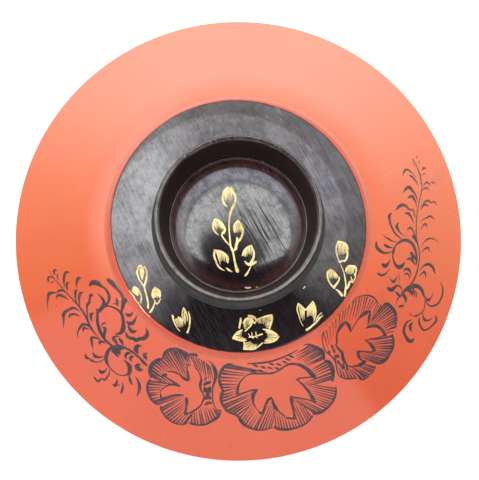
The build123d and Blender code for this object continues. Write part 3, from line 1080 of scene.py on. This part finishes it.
left_lower_ring = [
    [(88, 104.5, .6), (94, 103.5, .8), (100, 105, .7), (107, 108, .6), (114, 113, .6), (121, 119, .6),
     (127, 125.5, .8), (129, 127, .5)],
    [(86, 105, .7), (82, 110, 1.0), (80, 116, 1.1), (80, 122, .9), (82, 126.5, .5), (86, 132, .35),
     (92, 137, .3), (98, 139.2, .3), (104, 138.8, .5), (107, 137.5, .9)],
    [(100.5, 120, .1), (104, 123, .6), (107.5, 127.5, 1.1), (108.3, 132.5, 1.2), (107, 137, 1.0),
     (104, 138.7, .4)],
    [(86, 106.5, .8), (89.5, 109.5, 1.4), (92.5, 114.5, .7), (95, 118, .1)],
    [(91, 106, 1.2), (94.5, 109.5, 1.3), (96.5, 115, .2)],
    [(96, 105.5, 1.2), (100, 106.5, .8), (102, 105.5, .5)],
    [(104.5, 120, .15), (103, 115.5, .8), (105.5, 112.5, .9), (110.5, 112.5, .1)],
    [(110.8, 122.5, .2), (109, 118.5, 1.0), (110.5, 116.5, .8), (114, 117, .1)],
    [(118.7, 113.5, .2), (116, 108.5, 1.3), (116.5, 105, 1.4), (119, 103.3, .8), (123.5, 104.8, .1)],
    [(129, 121, .1), (127, 117, 1.0), (125, 113.8, .7), (129.5, 112.8, .3)],
    [(115.5, 128, .8), (118, 130.5, 1.3), (121, 132.5, 1.0), (124, 132, .3)],
    [(120, 126, .6), (117, 127, .9)],
    [(63.5, 112, .4), (66.5, 116, .9), (71, 117.3, .6), (77.5, 116.5, .15)],
    [(54.8, 113.5, .3), (55.5, 117, .8), (57, 118.5, .7), (60, 119, .2)],
    [(58.5, 118, .15), (62.5, 121.5, .7), (67, 123, .35), (73, 122.3, .3), (77, 119.8, .2)],
    [(70.5, 132, .15), (74.5, 135.5, 1.0), (77.5, 134.5, .7), (81, 130, .08)],
    [(84, 131.5, .12), (83, 138, .4), (80, 142.5, .6), (77.3, 144.7, .6), (74, 143, .4), (70.5, 146.5, .7),
     (67, 143.5, .5), (64.3, 139.5, .1)],
    [(93, 143, .1), (92.5, 148, .7), (90.5, 151.8, .8), (87.3, 149.5, .15)],
    [(94.5, 151.5, .25), (96, 149.8, .2)],
    [(98.5, 147, .1), (100, 152, .5), (99, 157, .7), (98, 160, .6)],
    [(107.5, 139.5, .3), (109, 146, .8), (111, 150.5, .3)],
    [(115, 140.5, .1), (118.5, 146.5, .6), (120, 153, .9), (119, 159, .7), (117, 164, .2)],
]
left_strokes = left_vine + left_upper_ring + left_lower_ring
painted("left_vine", LEFT_VINE_SHEET, left_strokes, black_paint)

# %% [markdown]
# Three flowers stand on the near side. Each has a frilled edge of round lobes, a bare star in the middle,
# and thin strokes that run inwards from the edge to the star. Edge and star are drawn stroke by stroke; the
# strokes between them are many and much alike, so they are hatched. Dabs in rows mark the part of a petal
# that folds over.

# %% Right flower
RIGHT_FLOWER_SHEET = (16.33, -13.49, 0.1894)
right_lobes = [
    [(119.5, 19.5, .3), (124.5, 19.5, .8), (130, 24, .8), (135, 31, .9), (137, 42, .7), (135.5, 54, .3)],
    [(131, 64, .5), (133.5, 72, .5), (132.5, 82, .5), (128, 91, .6), (121, 100, .9), (114, 104.5, .6),
     (108, 105, .2)],
]
right_edges = [
    [(74, 18, .25), (79, 12, .3), (87, 8.5, .35), (95, 7.5, .4), (103, 9.5, .55), (108, 14, .4),
     (111.5, 19, .2)],
    [(123.5, 60.5, .3), (133, 59, .3)],
    [(107.5, 108, .25), (105, 115, .25), (99, 122, .25), (93, 126.5, .4), (87, 127.5, .5), (83, 124.5, .3)],
    [(80, 126, .3), (65, 126, .5), (57, 123.5, .3), (54, 119, .35), (52, 109, .4), (50, 101, .5),
     (43, 93, .4), (37, 88, .35), (33.5, 80, .3), (32, 72, .3), (31.5, 66, .4), (34.5, 59, .3)],
    [(61, 105, .4), (62.5, 110, .6)],
    [(66, 107, .4), (67.5, 113.5, .7)],
]
right_star = [
    [(52, 66, .5), (54, 59, .6), (59, 51, 1.0), (65.5, 45, .5)],
    [(65.5, 45.5, .6), (69.5, 51, 1.0), (72, 60, .15)],
    [(72, 60, .2), (78, 49, .3), (85, 39.5, .5), (92, 33.5, 1.1), (100, 29.5, .3)],
    [(100, 29.5, .4), (98.5, 40, .7), (96.5, 50, .15)],
    [(93, 55, .15), (100, 52, .8), (109, 51.5, .9), (117, 57, .8), (121.5, 64, .9)],
    [(121.5, 64.5, .5), (110, 68.5, .4), (100, 70, .4), (92.5, 71.5, .15)],
    [(92.5, 71.5, .2), (99, 76, .7), (104, 82, 1.0), (106, 86, .9)],
    [(105.5, 87, .6), (100, 88.5, .6), (90, 87.5, .4), (83.5, 87.5, .5)],
    [(82.5, 88, .8), (83, 93, .9), (88, 100, .5), (92.5, 102, .6)],
    [(92.5, 102, .8), (87, 106, 1.0), (79, 108.5, .6), (70, 109, .4), (65, 105, .7), (61, 96, .9),
     (59.5, 89, .8), (55, 84, .6), (51, 78, .5)],
    [(52.5, 76, .5), (52.5, 70, .5), (51.5, 66, .4)],
]
right_flower = right_lobes + right_edges + right_star
right_fold = [(46, 81), (48.6, 87), (50.7, 95), (54, 94), (54.7, 103), (57.8, 107), (61, 110)]
right_fold += [(41.5, 88.5), (49.7, 100)]
right_flower += dabbed(right_fold, 0.9, 2.4, .75)
right_flower += frilled(right_lobes, [(70, 78), (55, 82)], right_star, 4.6, .42)
right_flower += petals([
    ([(32, 66), (52, 40), (73, 18)], [(38, 86), (49, 66), (67, 43)], 9, .35),
    ([(75, 17), (92, 8), (110, 18)], [(68, 45), (78, 46), (98, 31)], 9, .36),
    ([(109, 17), (113, 22), (118, 20)], [(99, 38), (100.5, 42), (103, 47)], 3, .30),
    ([(107, 109), (98, 121), (86, 127)], [(88, 104), (80, 110), (70, 111)], 7, .62),
    ([(82, 126), (66, 126), (58, 122)], [(70, 110), (60, 110), (54, 110)], 5, .55),
])
painted("right_flower", RIGHT_FLOWER_SHEET, right_flower, black_paint)

# %% [markdown]
# The flower in the middle is the largest, and turned towards the onlooker. Its lobes at the sides are
# hatched with a full brush and those below with a drier one, so they are drawn in two goes. A row of leaves
# lies behind its top.

# %% Middle flower
MIDDLE_FLOWER_SHEET = (-6.61, -25.63, 0.2152)
middle_lobes = [
    [(22, 38.5, .8), (18, 37.5, 1.0), (13, 39, .9), (9, 43, .75), (6, 50, .7), (5.5, 57, .8), (7, 63, .8),
     (9, 68, .6)],
    [(10, 69, .6), (8.5, 74, .9), (7.5, 80, .9), (9, 86, .8), (12, 91, .7), (15, 95, .6), (20, 98, .5),
     (26, 100.5, .5), (29, 102, .6)],
    [(30, 103, .8), (32, 107, .9), (36, 112, .8), (41, 115, .7), (47, 117.5, .55), (53, 119, .5),
     (60, 119, .4), (66, 118, .3), (72, 116, .2)],
    [(75, 115.5, .8), (79, 117.5, .8), (85, 118.5, .8), (92, 118.5, .65), (100, 117, .55), (107, 114.5, .5),
     (114, 111, .45), (119, 106.5, .4), (122, 102, .5)],
    [(124, 98, .9), (129, 98, .8), (134, 96.5, .7), (139, 93, .65), (144, 88.5, .6), (148.5, 82, .55),
     (151, 76, .5), (152, 70, .4), (151.5, 65, .3)],
    [(147.5, 57, .7), (148, 51, .9), (147.5, 44, 1.2), (145.5, 38, 1.2), (142, 33.5, 1.0), (138, 32, .5)],
]
middle_edges = [
    [(137, 30, .5), (136, 25, .9), (134, 20, 1.1), (130, 17, .9), (125, 14.5, .7), (119, 12.5, .7),
     (114, 12, .4), (111, 13, .15)],
    [(41, 36, .3), (53, 35.5, .5), (68, 33.5, .5), (81, 29.5, .5), (93, 24.5, .45), (104, 18.5, .2)],
]
middle_star = [
    [(28, 73, .9), (28.5, 67, .8), (30.5, 61, .5), (35, 55, .35), (41, 50, .35), (46, 48.5, .5),
     (52, 48.3, .6), (58, 48.5, .5), (64, 48.5, .5), (71, 48, .5), (77, 46, .5), (83, 42.5, .5),
     (89, 38.5, .5), (94, 36.5, .6), (100, 36.3, .7), (106, 37.5, .8), (112, 40.5, 1.0), (117, 44.5, 1.1),
     (121, 49, 1.1), (124.5, 52, 1.2)],
    [(125, 52, .5), (119, 53, .4), (111, 53.7, .4), (105, 54.8, .5), (102.5, 56, .5)],
    [(102.5, 55.5, .4), (107, 59.5, .5), (112.5, 65, .7), (117.5, 71, .8), (121, 77, .9), (124, 82, 1.1),
     (125.5, 84, .6)],
    [(123, 82.5, .3), (116, 81, .35), (108, 79.5, .4), (101, 78.5, .5), (95.5, 78.5, .5)],
    [(95.8, 78, .9), (96, 83, .9), (97.5, 90, .7), (99, 97, .6), (100, 104, .8)],
    [(100.5, 104.5, .7), (95, 104.5, .5), (90, 104, .6)],
    [(88, 102, .3), (84, 99, .4), (80, 96, .5), (76, 91, .9), (73, 85.5, .8), (71.5, 80.5, .6),
     (70, 79, .5)],
    [(70.5, 78.8, .6), (67, 81, .7), (64, 86.5, .7), (61.5, 93, .6), (60, 98, .8)],
    [(60.5, 98.5, .6), (57, 98, .7), (55.5, 96.5, .5)],
    [(54, 95, .2), (50.5, 90.5, .3), (48, 84, .6), (47.5, 77.5, 1.0), (49.5, 72, 1.0), (52, 69.5, .8)],
    [(53, 69, .5), (48, 69, .5), (42, 70.5, .45), (35, 73, .5), (28.5, 75, .6)],
]
middle_flower = middle_lobes + middle_edges + middle_star
leaf_row = [(51, 38.5), (71, 36.5), (80, 37), (87.5, 34), (91, 30.5), (95.5, 27)]
leaf_row += [(60.5, 40.5), (69, 41.5), (78, 42), (48.5, 46), (58.5, 45.2)]
middle_flower += dabbed(leaf_row, 3.0, 1.1, .6)
middle_aims = [(140, 62), (95, 52), (95, 30), (62, 10), (50, 50), (50, 84)]
middle_flower += frilled(middle_lobes[2:5], middle_aims[2:5], middle_star, 3.7, .32)
heavy_lobes, heavy_aims = (sides[:2] + sides[5:] for sides in (middle_lobes, middle_aims))
middle_flower += frilled(heavy_lobes, heavy_aims, middle_star, 4.5, .43)
middle_flower += filled([(137, 31), (134, 20), (118, 13)], [(116, 40), (100, 30), (98, 24)], 9, .52)
painted("middle_flower", MIDDLE_FLOWER_SHEET, middle_flower, black_paint)

# %% [markdown]
# The left flower is seen from the side: its right edge folds over in a row of knots. Its lowest lobe and
# the fold reach past the star, so their strokes run to a line inside them instead.

# %% Left flower
LEFT_FLOWER_SHEET = (-26.85, -25.63, 0.1721)
left_lobes = [
    [(36, 36, .6), (38, 30, .8), (42, 25.5, .9), (47, 23, 1.0), (53, 22.5, 1.0), (60, 23.5, 1.0),
     (66, 26, .9), (72, 29, .9), (76, 31.5, .7)],
    [(35, 38, .6), (30, 38.5, .9), (24.5, 41.5, 1.1), (19.5, 46, 1.2), (16.5, 51, 1.1), (15.5, 57, 1.0),
     (16, 62, .8), (17, 66, .6)],
    [(15.5, 70.5, .5), (12.5, 75, .6), (11.3, 82, .6), (12.5, 90, .65), (16, 98, .65), (20.5, 104, .6),
     (26, 108, .5), (31, 109, .3)],
    [(32.5, 112.5, .5), (33, 117, .55), (36, 122.5, .5), (41, 129, .5), (47, 134, .45), (54, 138, .4),
     (61, 140, .3), (67, 140.5, .25), (74, 138.5, .2)],
    [(79, 138, .7), (84, 140, .7), (91, 141, .5), (98, 141, .5), (104, 140, .5), (110, 136.5, .6),
     (115, 133.5, .7), (120, 130.5, .8), (124, 126, .7), (126, 121, .4), (126.5, 117, .12)],
]
left_edges = [
    [(78, 30, .5), (83, 30.5, .8), (88, 31.5, .8), (90, 33, .4)],
    [(122, 119, .25), (118, 113.5, .25), (115, 107, .35), (114, 99, .4), (113.5, 92, .45), (113.5, 85, .5),
     (115.5, 77, .6), (118, 70, .8), (119, 63, 1.0), (117.5, 55, 1.1), (115, 49, .8), (112, 44, .35),
     (106, 39, .15)],
    [(73, 46, .4), (77, 47.5, .4), (79.5, 49, .2)],
    [(102, 70, .6), (104, 66.5, .4)],
    [(101, 78, .7), (105, 75, .9), (109, 74.5, .7), (111, 72.5, .3)],
    [(101.5, 84, .9), (103.5, 86, 1.3), (101, 88, .8)],
    [(109, 83, .9), (108, 88, 1.2), (105.5, 93, 1.0)],
    [(103, 99, 1.0), (107, 97, 1.3), (110, 99, .9)],
    [(103, 109, .7), (107, 106.5, .9), (111, 106.5, .7)],
]
left_star = [
    [(74, 47, .4), (74, 54, .4), (75, 60, .6), (76, 66, .8), (76, 70, .7)],
    [(76, 70, .8), (71, 69.5, .8), (66, 66, .6), (61, 61.5, .5), (55, 58.5, .5), (49, 57.5, .4),
     (43, 57.5, .25)],
    [(36, 63.5, .8), (39, 62.5, .9), (42, 63, .5)],
    [(38, 64.5, .45), (44, 68.5, .5), (51, 73, .55), (57, 77, .75), (61.5, 80, .6)],
    [(60, 80, .45), (54, 78, .6), (48, 78, .5), (42, 80, .4), (36, 84, .35), (32, 88.5, .25)],
    [(32.5, 91, .25), (32.8, 96, .5), (33.5, 100, .5)],
    [(33.5, 99.5, .45), (40, 98, .45), (48, 95.5, .45), (56, 94.3, .55), (63, 94.2, .6), (67, 94.5, .55)],
    [(73, 100, .85), (73.5, 106, .8), (72.5, 113, .65), (71.5, 119, .7), (71, 123, .9)],
    [(71, 124, .8), (77, 122.5, .45), (84, 119, .45), (90, 115, .5), (95, 110.5, .45), (98, 105, .45),
     (100.5, 99, .55), (100, 95, .45), (97.5, 90, .35), (95, 85, .55), (94.5, 78, .8), (96, 71, .7),
     (95.5, 65.5, .45), (92.5, 59, .25), (88, 53, .2), (84, 48, .15)],
]
left_flower = left_lobes + left_edges + left_star
left_aims = [(105, 125), (110, 118), (100, 84), (125, 65)]
left_flower += frilled(left_lobes[:2], left_aims[:2], left_star, 5.0, .48)
left_flower += frilled(left_lobes[2:4], left_aims[2:], left_star, 5.0, .40)
lowest_inside = [(80, 122), (90, 115), (98, 111), (106, 113), (114, 113), (121, 118)]
fold = [(77, 32), (86, 35), (94, 38.5), (104, 44), (112, 52)]
fold_inside = [(90, 55), (97, 64), (105, 70), (111.5, 72), (116.5, 70)]
left_flower += petals([(left_lobes[4], lowest_inside, 12, .46), (fold, fold_inside, 9, .44)])
painted("left_flower", LEFT_FLOWER_SHEET, left_flower, black_paint)

# %% [markdown]
# Gold is painted on the black only. In the well stands a plant with five closed buds; a bud is one petal
# filled with gold strokes that leave a ragged lower end, and two sepals that close below it. Stems and
# sepals are drawn stroke by stroke, and the fill is hatched, as in the flowers.

# %% Gold plant in the well
WELL_SHEET = (-12.01, 16.19, 0.2065)
well_plant = [
    [(43, 9.5, .6), (39, 13.5, .6), (36.5, 20, .6), (36.5, 27, .7), (39, 32, .6), (42.5, 35.5, .15)],
    [(47, 10, .5), (50, 16, .7), (52.5, 21, .6), (53, 26, .6), (51, 32, .8), (48, 38, .8), (46, 44, .7)],
    [(46, 44, .6), (45, 51, .5), (44.5, 59, .5), (44.8, 67, .45), (45.5, 75, .5), (46, 82, .6),
     (47, 88, .6), (49.5, 94, .6), (51, 101, .6), (52.5, 109, .7), (54, 115, .9), (55.5, 119, 1.1)],
    [(26, 51.5, .5), (24, 57, .7), (24, 63, .7), (27, 68.5, .6), (31, 72, .2)],
    [(27, 51, .5), (32, 54, .7), (37, 60, .8), (39, 65, .8), (37.5, 69.5, .6)],
    [(36, 68, .4), (35, 72, .5), (38, 77, .5), (42, 82, .45), (46, 86, .45), (49, 90, .5)],
    [(56.5, 53, .5), (53, 57, .7), (51, 62, .7), (52, 68, .5)],
    [(56.5, 53, .5), (60, 57, .7), (62.5, 62, .7), (62.5, 68, .6), (61, 74, .7), (58, 79, .8)],
    [(54.5, 75, .4), (55.5, 79, .9), (54, 85, .9), (52.5, 91, .8), (51, 92, .5)],
    [(26, 92, .7), (25, 98, .7), (27, 105, .6), (30, 112, .6), (34, 116, .5), (39, 118.5, .1)],
    [(27, 92, .5), (33, 93.5, .8), (39, 97, .8), (43, 102, .7), (43, 108, .5)],
    [(41, 115, .3), (44, 117.5, .7), (48.5, 120, .3)],
    [(74, 85.5, .5), (69, 88, .7), (64, 93, .6), (62, 98.5, .4)],
    [(74, 85.5, .6), (76, 91, .7), (77, 97, .7), (76, 103, .8), (73, 108, .8)],
    [(65, 106, .3), (68, 109.5, .8), (72, 110.5, 1.0), (76, 109, 1.0), (79.5, 107, .7)],
    [(73, 113, .25), (70.5, 118, .5), (67.5, 123, .7), (65.5, 125, .6)],
    [(66, 140.5, .4), (69, 141, .55), (72.5, 140.5, .4)],
    [(80, 139.5, .2), (82, 140.5, .2)],
]
well_plant += petals([
    ([(38, 14), (42, 10), (46, 10), (49, 14)], [(39, 31), (42, 27), (45, 26.5), (48, 28)], 8, .36),
    ([(24, 56), (27, 52), (32, 54), (37, 60)], [(28, 67), (29, 64), (32, 62), (36, 67)], 8, .42),
    ([(52, 60), (56, 54), (60, 58), (62, 63)], [(52, 69), (55.5, 70), (59, 68), (61.5, 70)], 8, .42),
    ([(27, 94), (33, 94), (39, 97), (43, 102)], [(33, 112), (35, 106), (38, 106), (43, 110)], 8, .42),
    ([(63, 97), (66, 91), (71, 87), (75, 88)], [(65, 101), (67, 100), (70, 97), (74, 100)], 9, .38),
])
painted("gold_well_plant", WELL_SHEET, well_plant, gold_paint, press=0.8)

# %% [markdown]
# Lids are stacked and things are laid in the well, so its floor is scratched along the brush. A scratch has
# lost its gloss and shows as a dull dark line in the mirror. A mask in the finish could show that too, but
# a thin dull stroke is easier to place.

# %% Scratches in the well
FINE_SCRATCHES = 16
scratches = [
    [(78.8, 24.7, .08), (93.5, 49.5, .28), (104.4, 66.9, .26), (111.8, 80.8, .22), (121.8, 96.3, .1)],
    [(67.7, 36.7, .08), (76.1, 51.4, .2), (85.2, 67.8, .26), (93.5, 81.7, .22), (101.7, 96.3, .08)],
    [(60.4, 51.4, .15), (68.6, 62.4, .34), (76.1, 73.3, .28), (84.3, 88.1, .3), (91.6, 103.7, .15)],
    [(56, 50, .1), (65, 64, .26), (74, 78, .16)],
    [(97.1, 44.1, .08), (102.6, 52.3, .2), (111.8, 67.8, .08)],
    [(73.2, 34.9, .06), (84.3, 55, .14), (93.5, 71.5, .3), (100.8, 82.6, .08)],
    [(54.9, 38.6, .08), (61.3, 47.7, .12)],
    [(73.2, 82.6, .1), (82.4, 100, .3), (86.1, 107.3, .2)],
    [(79.7, 85.4, .1), (86.1, 97.3, .26), (91.6, 106.4, .15)],
    [(116, 92, .1), (121, 101, .4), (126, 112, .1)],
]
for across in hand.uniform(52, 104, FINE_SCRATCHES):
    down = 18 + 0.55 * (across - 52) + hand.uniform(0, 45)
    length = hand.uniform(8, 20)
    press = hand.uniform(0.08, 0.16)
    scratches.append([(across, down, .06), (across + 0.5 * length, down + length, press),
                      (across + length, down + 2 * length, .06)])
dull_black = paint("dull_black", (0.008, 0.005, 0.005), (0.014, 0.010, 0.010), 0.0, 0.6, 0.4 * MM)
painted("well_scratches", WELL_SHEET, scratches, dull_black, press=1.25)

# %% [markdown]
# Round the crown stand a sprig on either side, a pair of tulip buds and one open flower. The left sprig
# leans over the edge of the black, where a gold thread runs on along it.

# %% Gold sprig and bud on the left
GOLD_LEFT_SHEET = (-32.25, -4.05, 0.1463)
gold_left = [
    [(38, 19, .4), (36, 20.5, .6), (33, 25, .5), (31.5, 31, .5), (33, 38, .45), (36, 46, .38),
     (40, 52, .33), (43, 56, .28)],
    [(45, 22, .4), (48, 27, .42), (49.5, 33, .45), (49, 40, .45), (48, 47, .5), (46, 53, .55),
     (44.5, 58, .5)],
    [(38, 26, .6), (39.5, 36, .65), (41, 46, .12)],
    [(42, 25, .65), (42, 36, .65), (41.5, 44, .15)],
    [(40, 24, .5), (41, 36, .6), (41.2, 45, .1)],
    [(37, 19.5, .45), (40.5, 21.5, .35)],
    [(44.5, 58, .42), (46.5, 66, .42), (49, 75, .45), (51, 84, .5), (52, 92, .52), (51.5, 96, .5),
     (53, 99, .25)],
    [(27, 59, .55), (32, 63, .65), (36, 69, .5), (39, 75, .42), (39.5, 81, .42), (38, 88, .42)],
    [(25, 61, .55), (28.5, 67, .65), (32, 75, .15)],
    [(24, 64, .3), (27.5, 69, .32), (31, 74, .1)],
    [(28, 61, .55), (31, 67, .6), (33.5, 75, .15)],
    [(22, 66, .22), (26, 70, .28), (29, 73, .1)],
    [(17, 65, .12), (20.5, 71, .25), (25, 76, .32), (27, 80, .3), (31, 85.5, .25), (34.5, 89, .28)],
    [(34, 89, .25), (38, 95, .3), (42, 101, .3), (46, 106, .25), (50, 110, .16), (54, 113, .28)],
    [(65, 60, .4), (62, 64, .5), (59.5, 70, .42), (60, 76, .5), (62, 80, .3)],
    [(65, 60, .4), (69, 62.5, .42), (73, 66, .5), (74, 72, .5), (74, 77, .4), (73, 79, .25)],
    [(64, 64, .75), (65, 71, .75), (65, 78, .25)],
    [(68, 65, .75), (69, 72, .75), (69, 78, .25)],
    [(71, 66, .65), (72, 72, .6), (72, 77, .15)],
    [(62, 67, .5), (62.5, 73, .5), (63, 79, .15)],
    [(75.5, 80, .12), (72.5, 85, .42), (69, 89.5, .5), (66.5, 90, .42), (64.5, 86, .42), (63, 82.5, .25)],
    [(64, 88, .25), (62.5, 93, .35), (60, 99, .5), (57, 104, .6), (55.5, 105.5, .5)],
    [(97, 112, .5), (98, 118, .4), (100.5, 125, .35), (104, 132, .3), (108, 138, .18), (111, 141, .1)],
    [(97, 112, .4), (99, 114.5, .35)],
    [(108, 115, .4), (112, 117, .42), (115.5, 121, .35)],
    [(117.5, 98, .42), (115.5, 104, .42), (115, 111, .4), (116.5, 118, .3), (119, 124, .25),
     (121, 129, .1)],
    [(117.5, 98, .42), (121, 104, .4), (123, 110, .3), (124.5, 117, .25), (124, 123, .18)],
    [(119, 104, .35), (120, 112, .3), (122, 122, .1)],
    [(117.5, 108, .25), (119, 116, .25), (121, 125, .1)],
    [(126, 105, .25), (128, 112, .38), (129, 120, .46), (128.5, 128, .46), (127, 136, .5),
     (124.5, 143, .5)],
]
gold_left += filled([(100, 119), (108, 116), (115, 121)], [(106, 133), (112, 135), (118, 131)], 9, .24)
painted("gold_left_sprig", GOLD_LEFT_SHEET, gold_left, gold_paint, press=0.98)

# %% [markdown]
# The right sprig is drawn with a finer brush. Here the buds are outlined first and then filled, so that the
# black shows between the strokes.

# %% Gold sprig and bud on the right
GOLD_RIGHT_SHEET = (13.63, 2.70, 0.1807)
gold_right = [
    [(72, 17.5, .5), (70, 22, .5), (69, 28, .5), (69.5, 34, .5), (71, 40, .3), (72.5, 44.5, .2)],
    [(72, 17.5, .6), (78, 18.5, .6), (83, 21, .6), (86, 25, .5), (87.5, 29.5, .15)],
    [(84.5, 27, .5), (86, 33, .5), (85.5, 39, .55), (83, 45, .6), (81, 47, .4)],
    [(81, 46, .5), (78, 46, .4), (75, 48, .7), (72.5, 45, .3)],
    [(75.5, 51, .15), (78, 57, .25), (80.5, 64, .35), (82, 71, .4), (83, 78, .45), (83.5, 85, .5),
     (82.5, 91, .6), (82, 98, .7)],
    [(83, 62, .3), (84, 58, .5), (87, 54, .6), (92, 54, .7), (97, 55, .7), (99, 59, .6), (98, 64, .5),
     (97, 68, .5)],
    [(97, 66, .5), (98, 70, .5), (96, 75, .5), (93.5, 78.5, .6)],
    [(91, 70, .3), (92, 73, .5), (92.5, 77, .5), (90, 77, .6), (88, 81, .7), (86, 86, .6), (84, 88, .5)],
    [(60, 59, .4), (57, 62, .6), (56, 68, .6), (57, 74, .5), (59.5, 79, .5), (63, 83.5, .5), (66, 86, .6)],
    [(60, 59, .5), (65, 62, .6), (69, 66.5, .5), (72, 71, .3)],
    [(74, 70.5, .3), (73, 75, .5), (70, 80, .6), (67, 84, .7), (65.5, 87, .4)],
    [(68, 88, .2), (72, 91, .6), (75.5, 95, .8), (77.5, 97.5, .8)],
    [(12.5, 110, .5), (11, 115, .5), (11, 121, .4), (13, 127, .3), (15, 134, .25), (18, 141, .2),
     (20.5, 144, .1)],
    [(12.5, 110, .5), (17, 114, .6), (21, 118, .6), (23.5, 119.5, .5)],
    [(23.5, 119.5, .5), (27, 116, .6), (31, 111, .6), (34, 107, .4)],
    [(34, 107, .4), (36.5, 112, .5), (38, 118, .5), (38.5, 124, .5), (37.5, 130, .4), (35.5, 137, .15)],
    [(25, 149, .8), (29, 146.5, .65), (35, 141.5, .6), (41, 136, .55), (45, 131, .4), (49, 127.5, .2)],
    [(39, 136, .3), (41, 130, .35), (44, 126.5, .35), (47, 124, .35)],
    [(42, 132, .25), (44, 130, .25)],
    [(20, 87, .3), (22.5, 84.5, .35)],
]
gold_right += petals([
    ([(71, 19), (77, 19), (83, 22), (86, 27)], [(71, 38), (76, 37), (81, 37), (85, 35)], 9, .34),
    ([(84, 59), (88, 55), (93, 55), (97, 57)], [(84, 66), (88, 67), (92, 67), (95, 66)], 8, .32),
    ([(58, 63), (61, 60), (65, 63), (69, 67)], [(59, 75), (62, 73), (66, 72), (70, 74)], 8, .32),
    ([(13, 113), (18, 117), (22, 121)], [(16, 131), (19, 136), (22, 134)], 7, .26),
    ([(25, 120), (29, 116), (34, 110), (37, 116)], [(25, 131), (29, 128), (33, 131), (36, 135)], 9, .34),
])
painted("gold_right_sprig", GOLD_RIGHT_SHEET, gold_right, gold_paint, press=0.86)

# %% [markdown]
# The open flower lies between them on the near side. Its petals are filled from their outlines inwards,
# which leaves a black heart for three small stamens.

# %% Gold open flower
GOLD_STAR_SHEET = (-3.91, -16.19, 0.1980)
gold_star = [
    [(42, 27, .4), (50, 24, .5), (58, 21.5, .6), (63.5, 21, .7)],
    [(63.5, 21, .8), (64, 27, .7), (62.5, 33, .6), (60.5, 39.5, .4)],
    [(52, 40, .4), (58, 41, .7), (64, 43, .7), (69, 46, .6), (73, 50, .6)],
    [(73, 50, .6), (70, 54, .6), (66, 56.5, .5), (60, 58, .5), (53, 58.5, .3)],
    [(26, 57, .5), (26.5, 61, .6), (26, 66, .7)],
    [(26, 66.5, .7), (34, 67, .6), (40, 66.5, .6), (43, 65, .5), (47, 62, .5), (51, 58.5, .4)],
    [(23.5, 41, .4), (18, 43.5, .6), (14, 47, .6), (11, 52, .6)],
    [(11, 52, .7), (17, 54, .6), (24, 55.5, .5), (29, 55, .3)],
    [(25, 31, .6), (29, 26, .8), (33, 25, .8), (36.5, 29, .7), (35.5, 34, .6), (31, 39, .5),
     (27.5, 42.5, .4)],
    [(32, 21.5, .6), (37, 22, .7), (41, 25, .7), (42.5, 27.5, .5), (40, 32.5, .3)],
    [(36, 23, .3), (38, 28, .5), (40, 32, .3)],
    [(21.5, 25, .5), (21, 30, .7), (20, 35, .65), (19.5, 38, .5)],
    [(33, 50.5, .4), (40, 50, .45), (46, 48, .5), (50.5, 46.5, .6)],
    [(32, 46, .3), (34.5, 50, .3)],
    [(36.5, 44.5, .3), (37.5, 51, .35), (38.5, 52.5, .2)],
    [(42, 44, .4), (43, 50, .4), (44, 52, .2)],
    [(47, 14.5, .2), (48.5, 13.5, .2)],
]
gold_star += petals([
    ([(43, 27), (50, 24.5), (58, 22), (63, 22)], [(46, 32), (51, 33), (57, 33), (58, 36)], 10, .36),
    ([(64, 23), (63.5, 30), (61, 38)], [(55, 29), (54, 34), (56, 38)], 8, .34),
    ([(57, 41), (66, 44), (73, 50), (68, 55), (58, 58)],
     [(54, 44), (57, 46), (57, 51), (55, 53), (53, 56)], 14, .42),
    ([(26.5, 58), (27, 66), (34, 66.5), (41, 66)], [(35, 56), (37, 58), (40, 59), (44, 60)], 12, .34),
    ([(22, 42), (14, 47), (11.5, 52), (18, 54), (26, 55)],
     [(23, 45), (23, 48), (24, 50), (27, 52), (30, 53)], 12, .4),
    ([(25, 32), (27, 27), (32, 25.5), (36, 29)], [(26, 40), (28, 40), (31, 37), (34, 34)], 8, .36),
])
painted("gold_open_flower", GOLD_STAR_SHEET, gold_star, gold_paint, press=0.78)
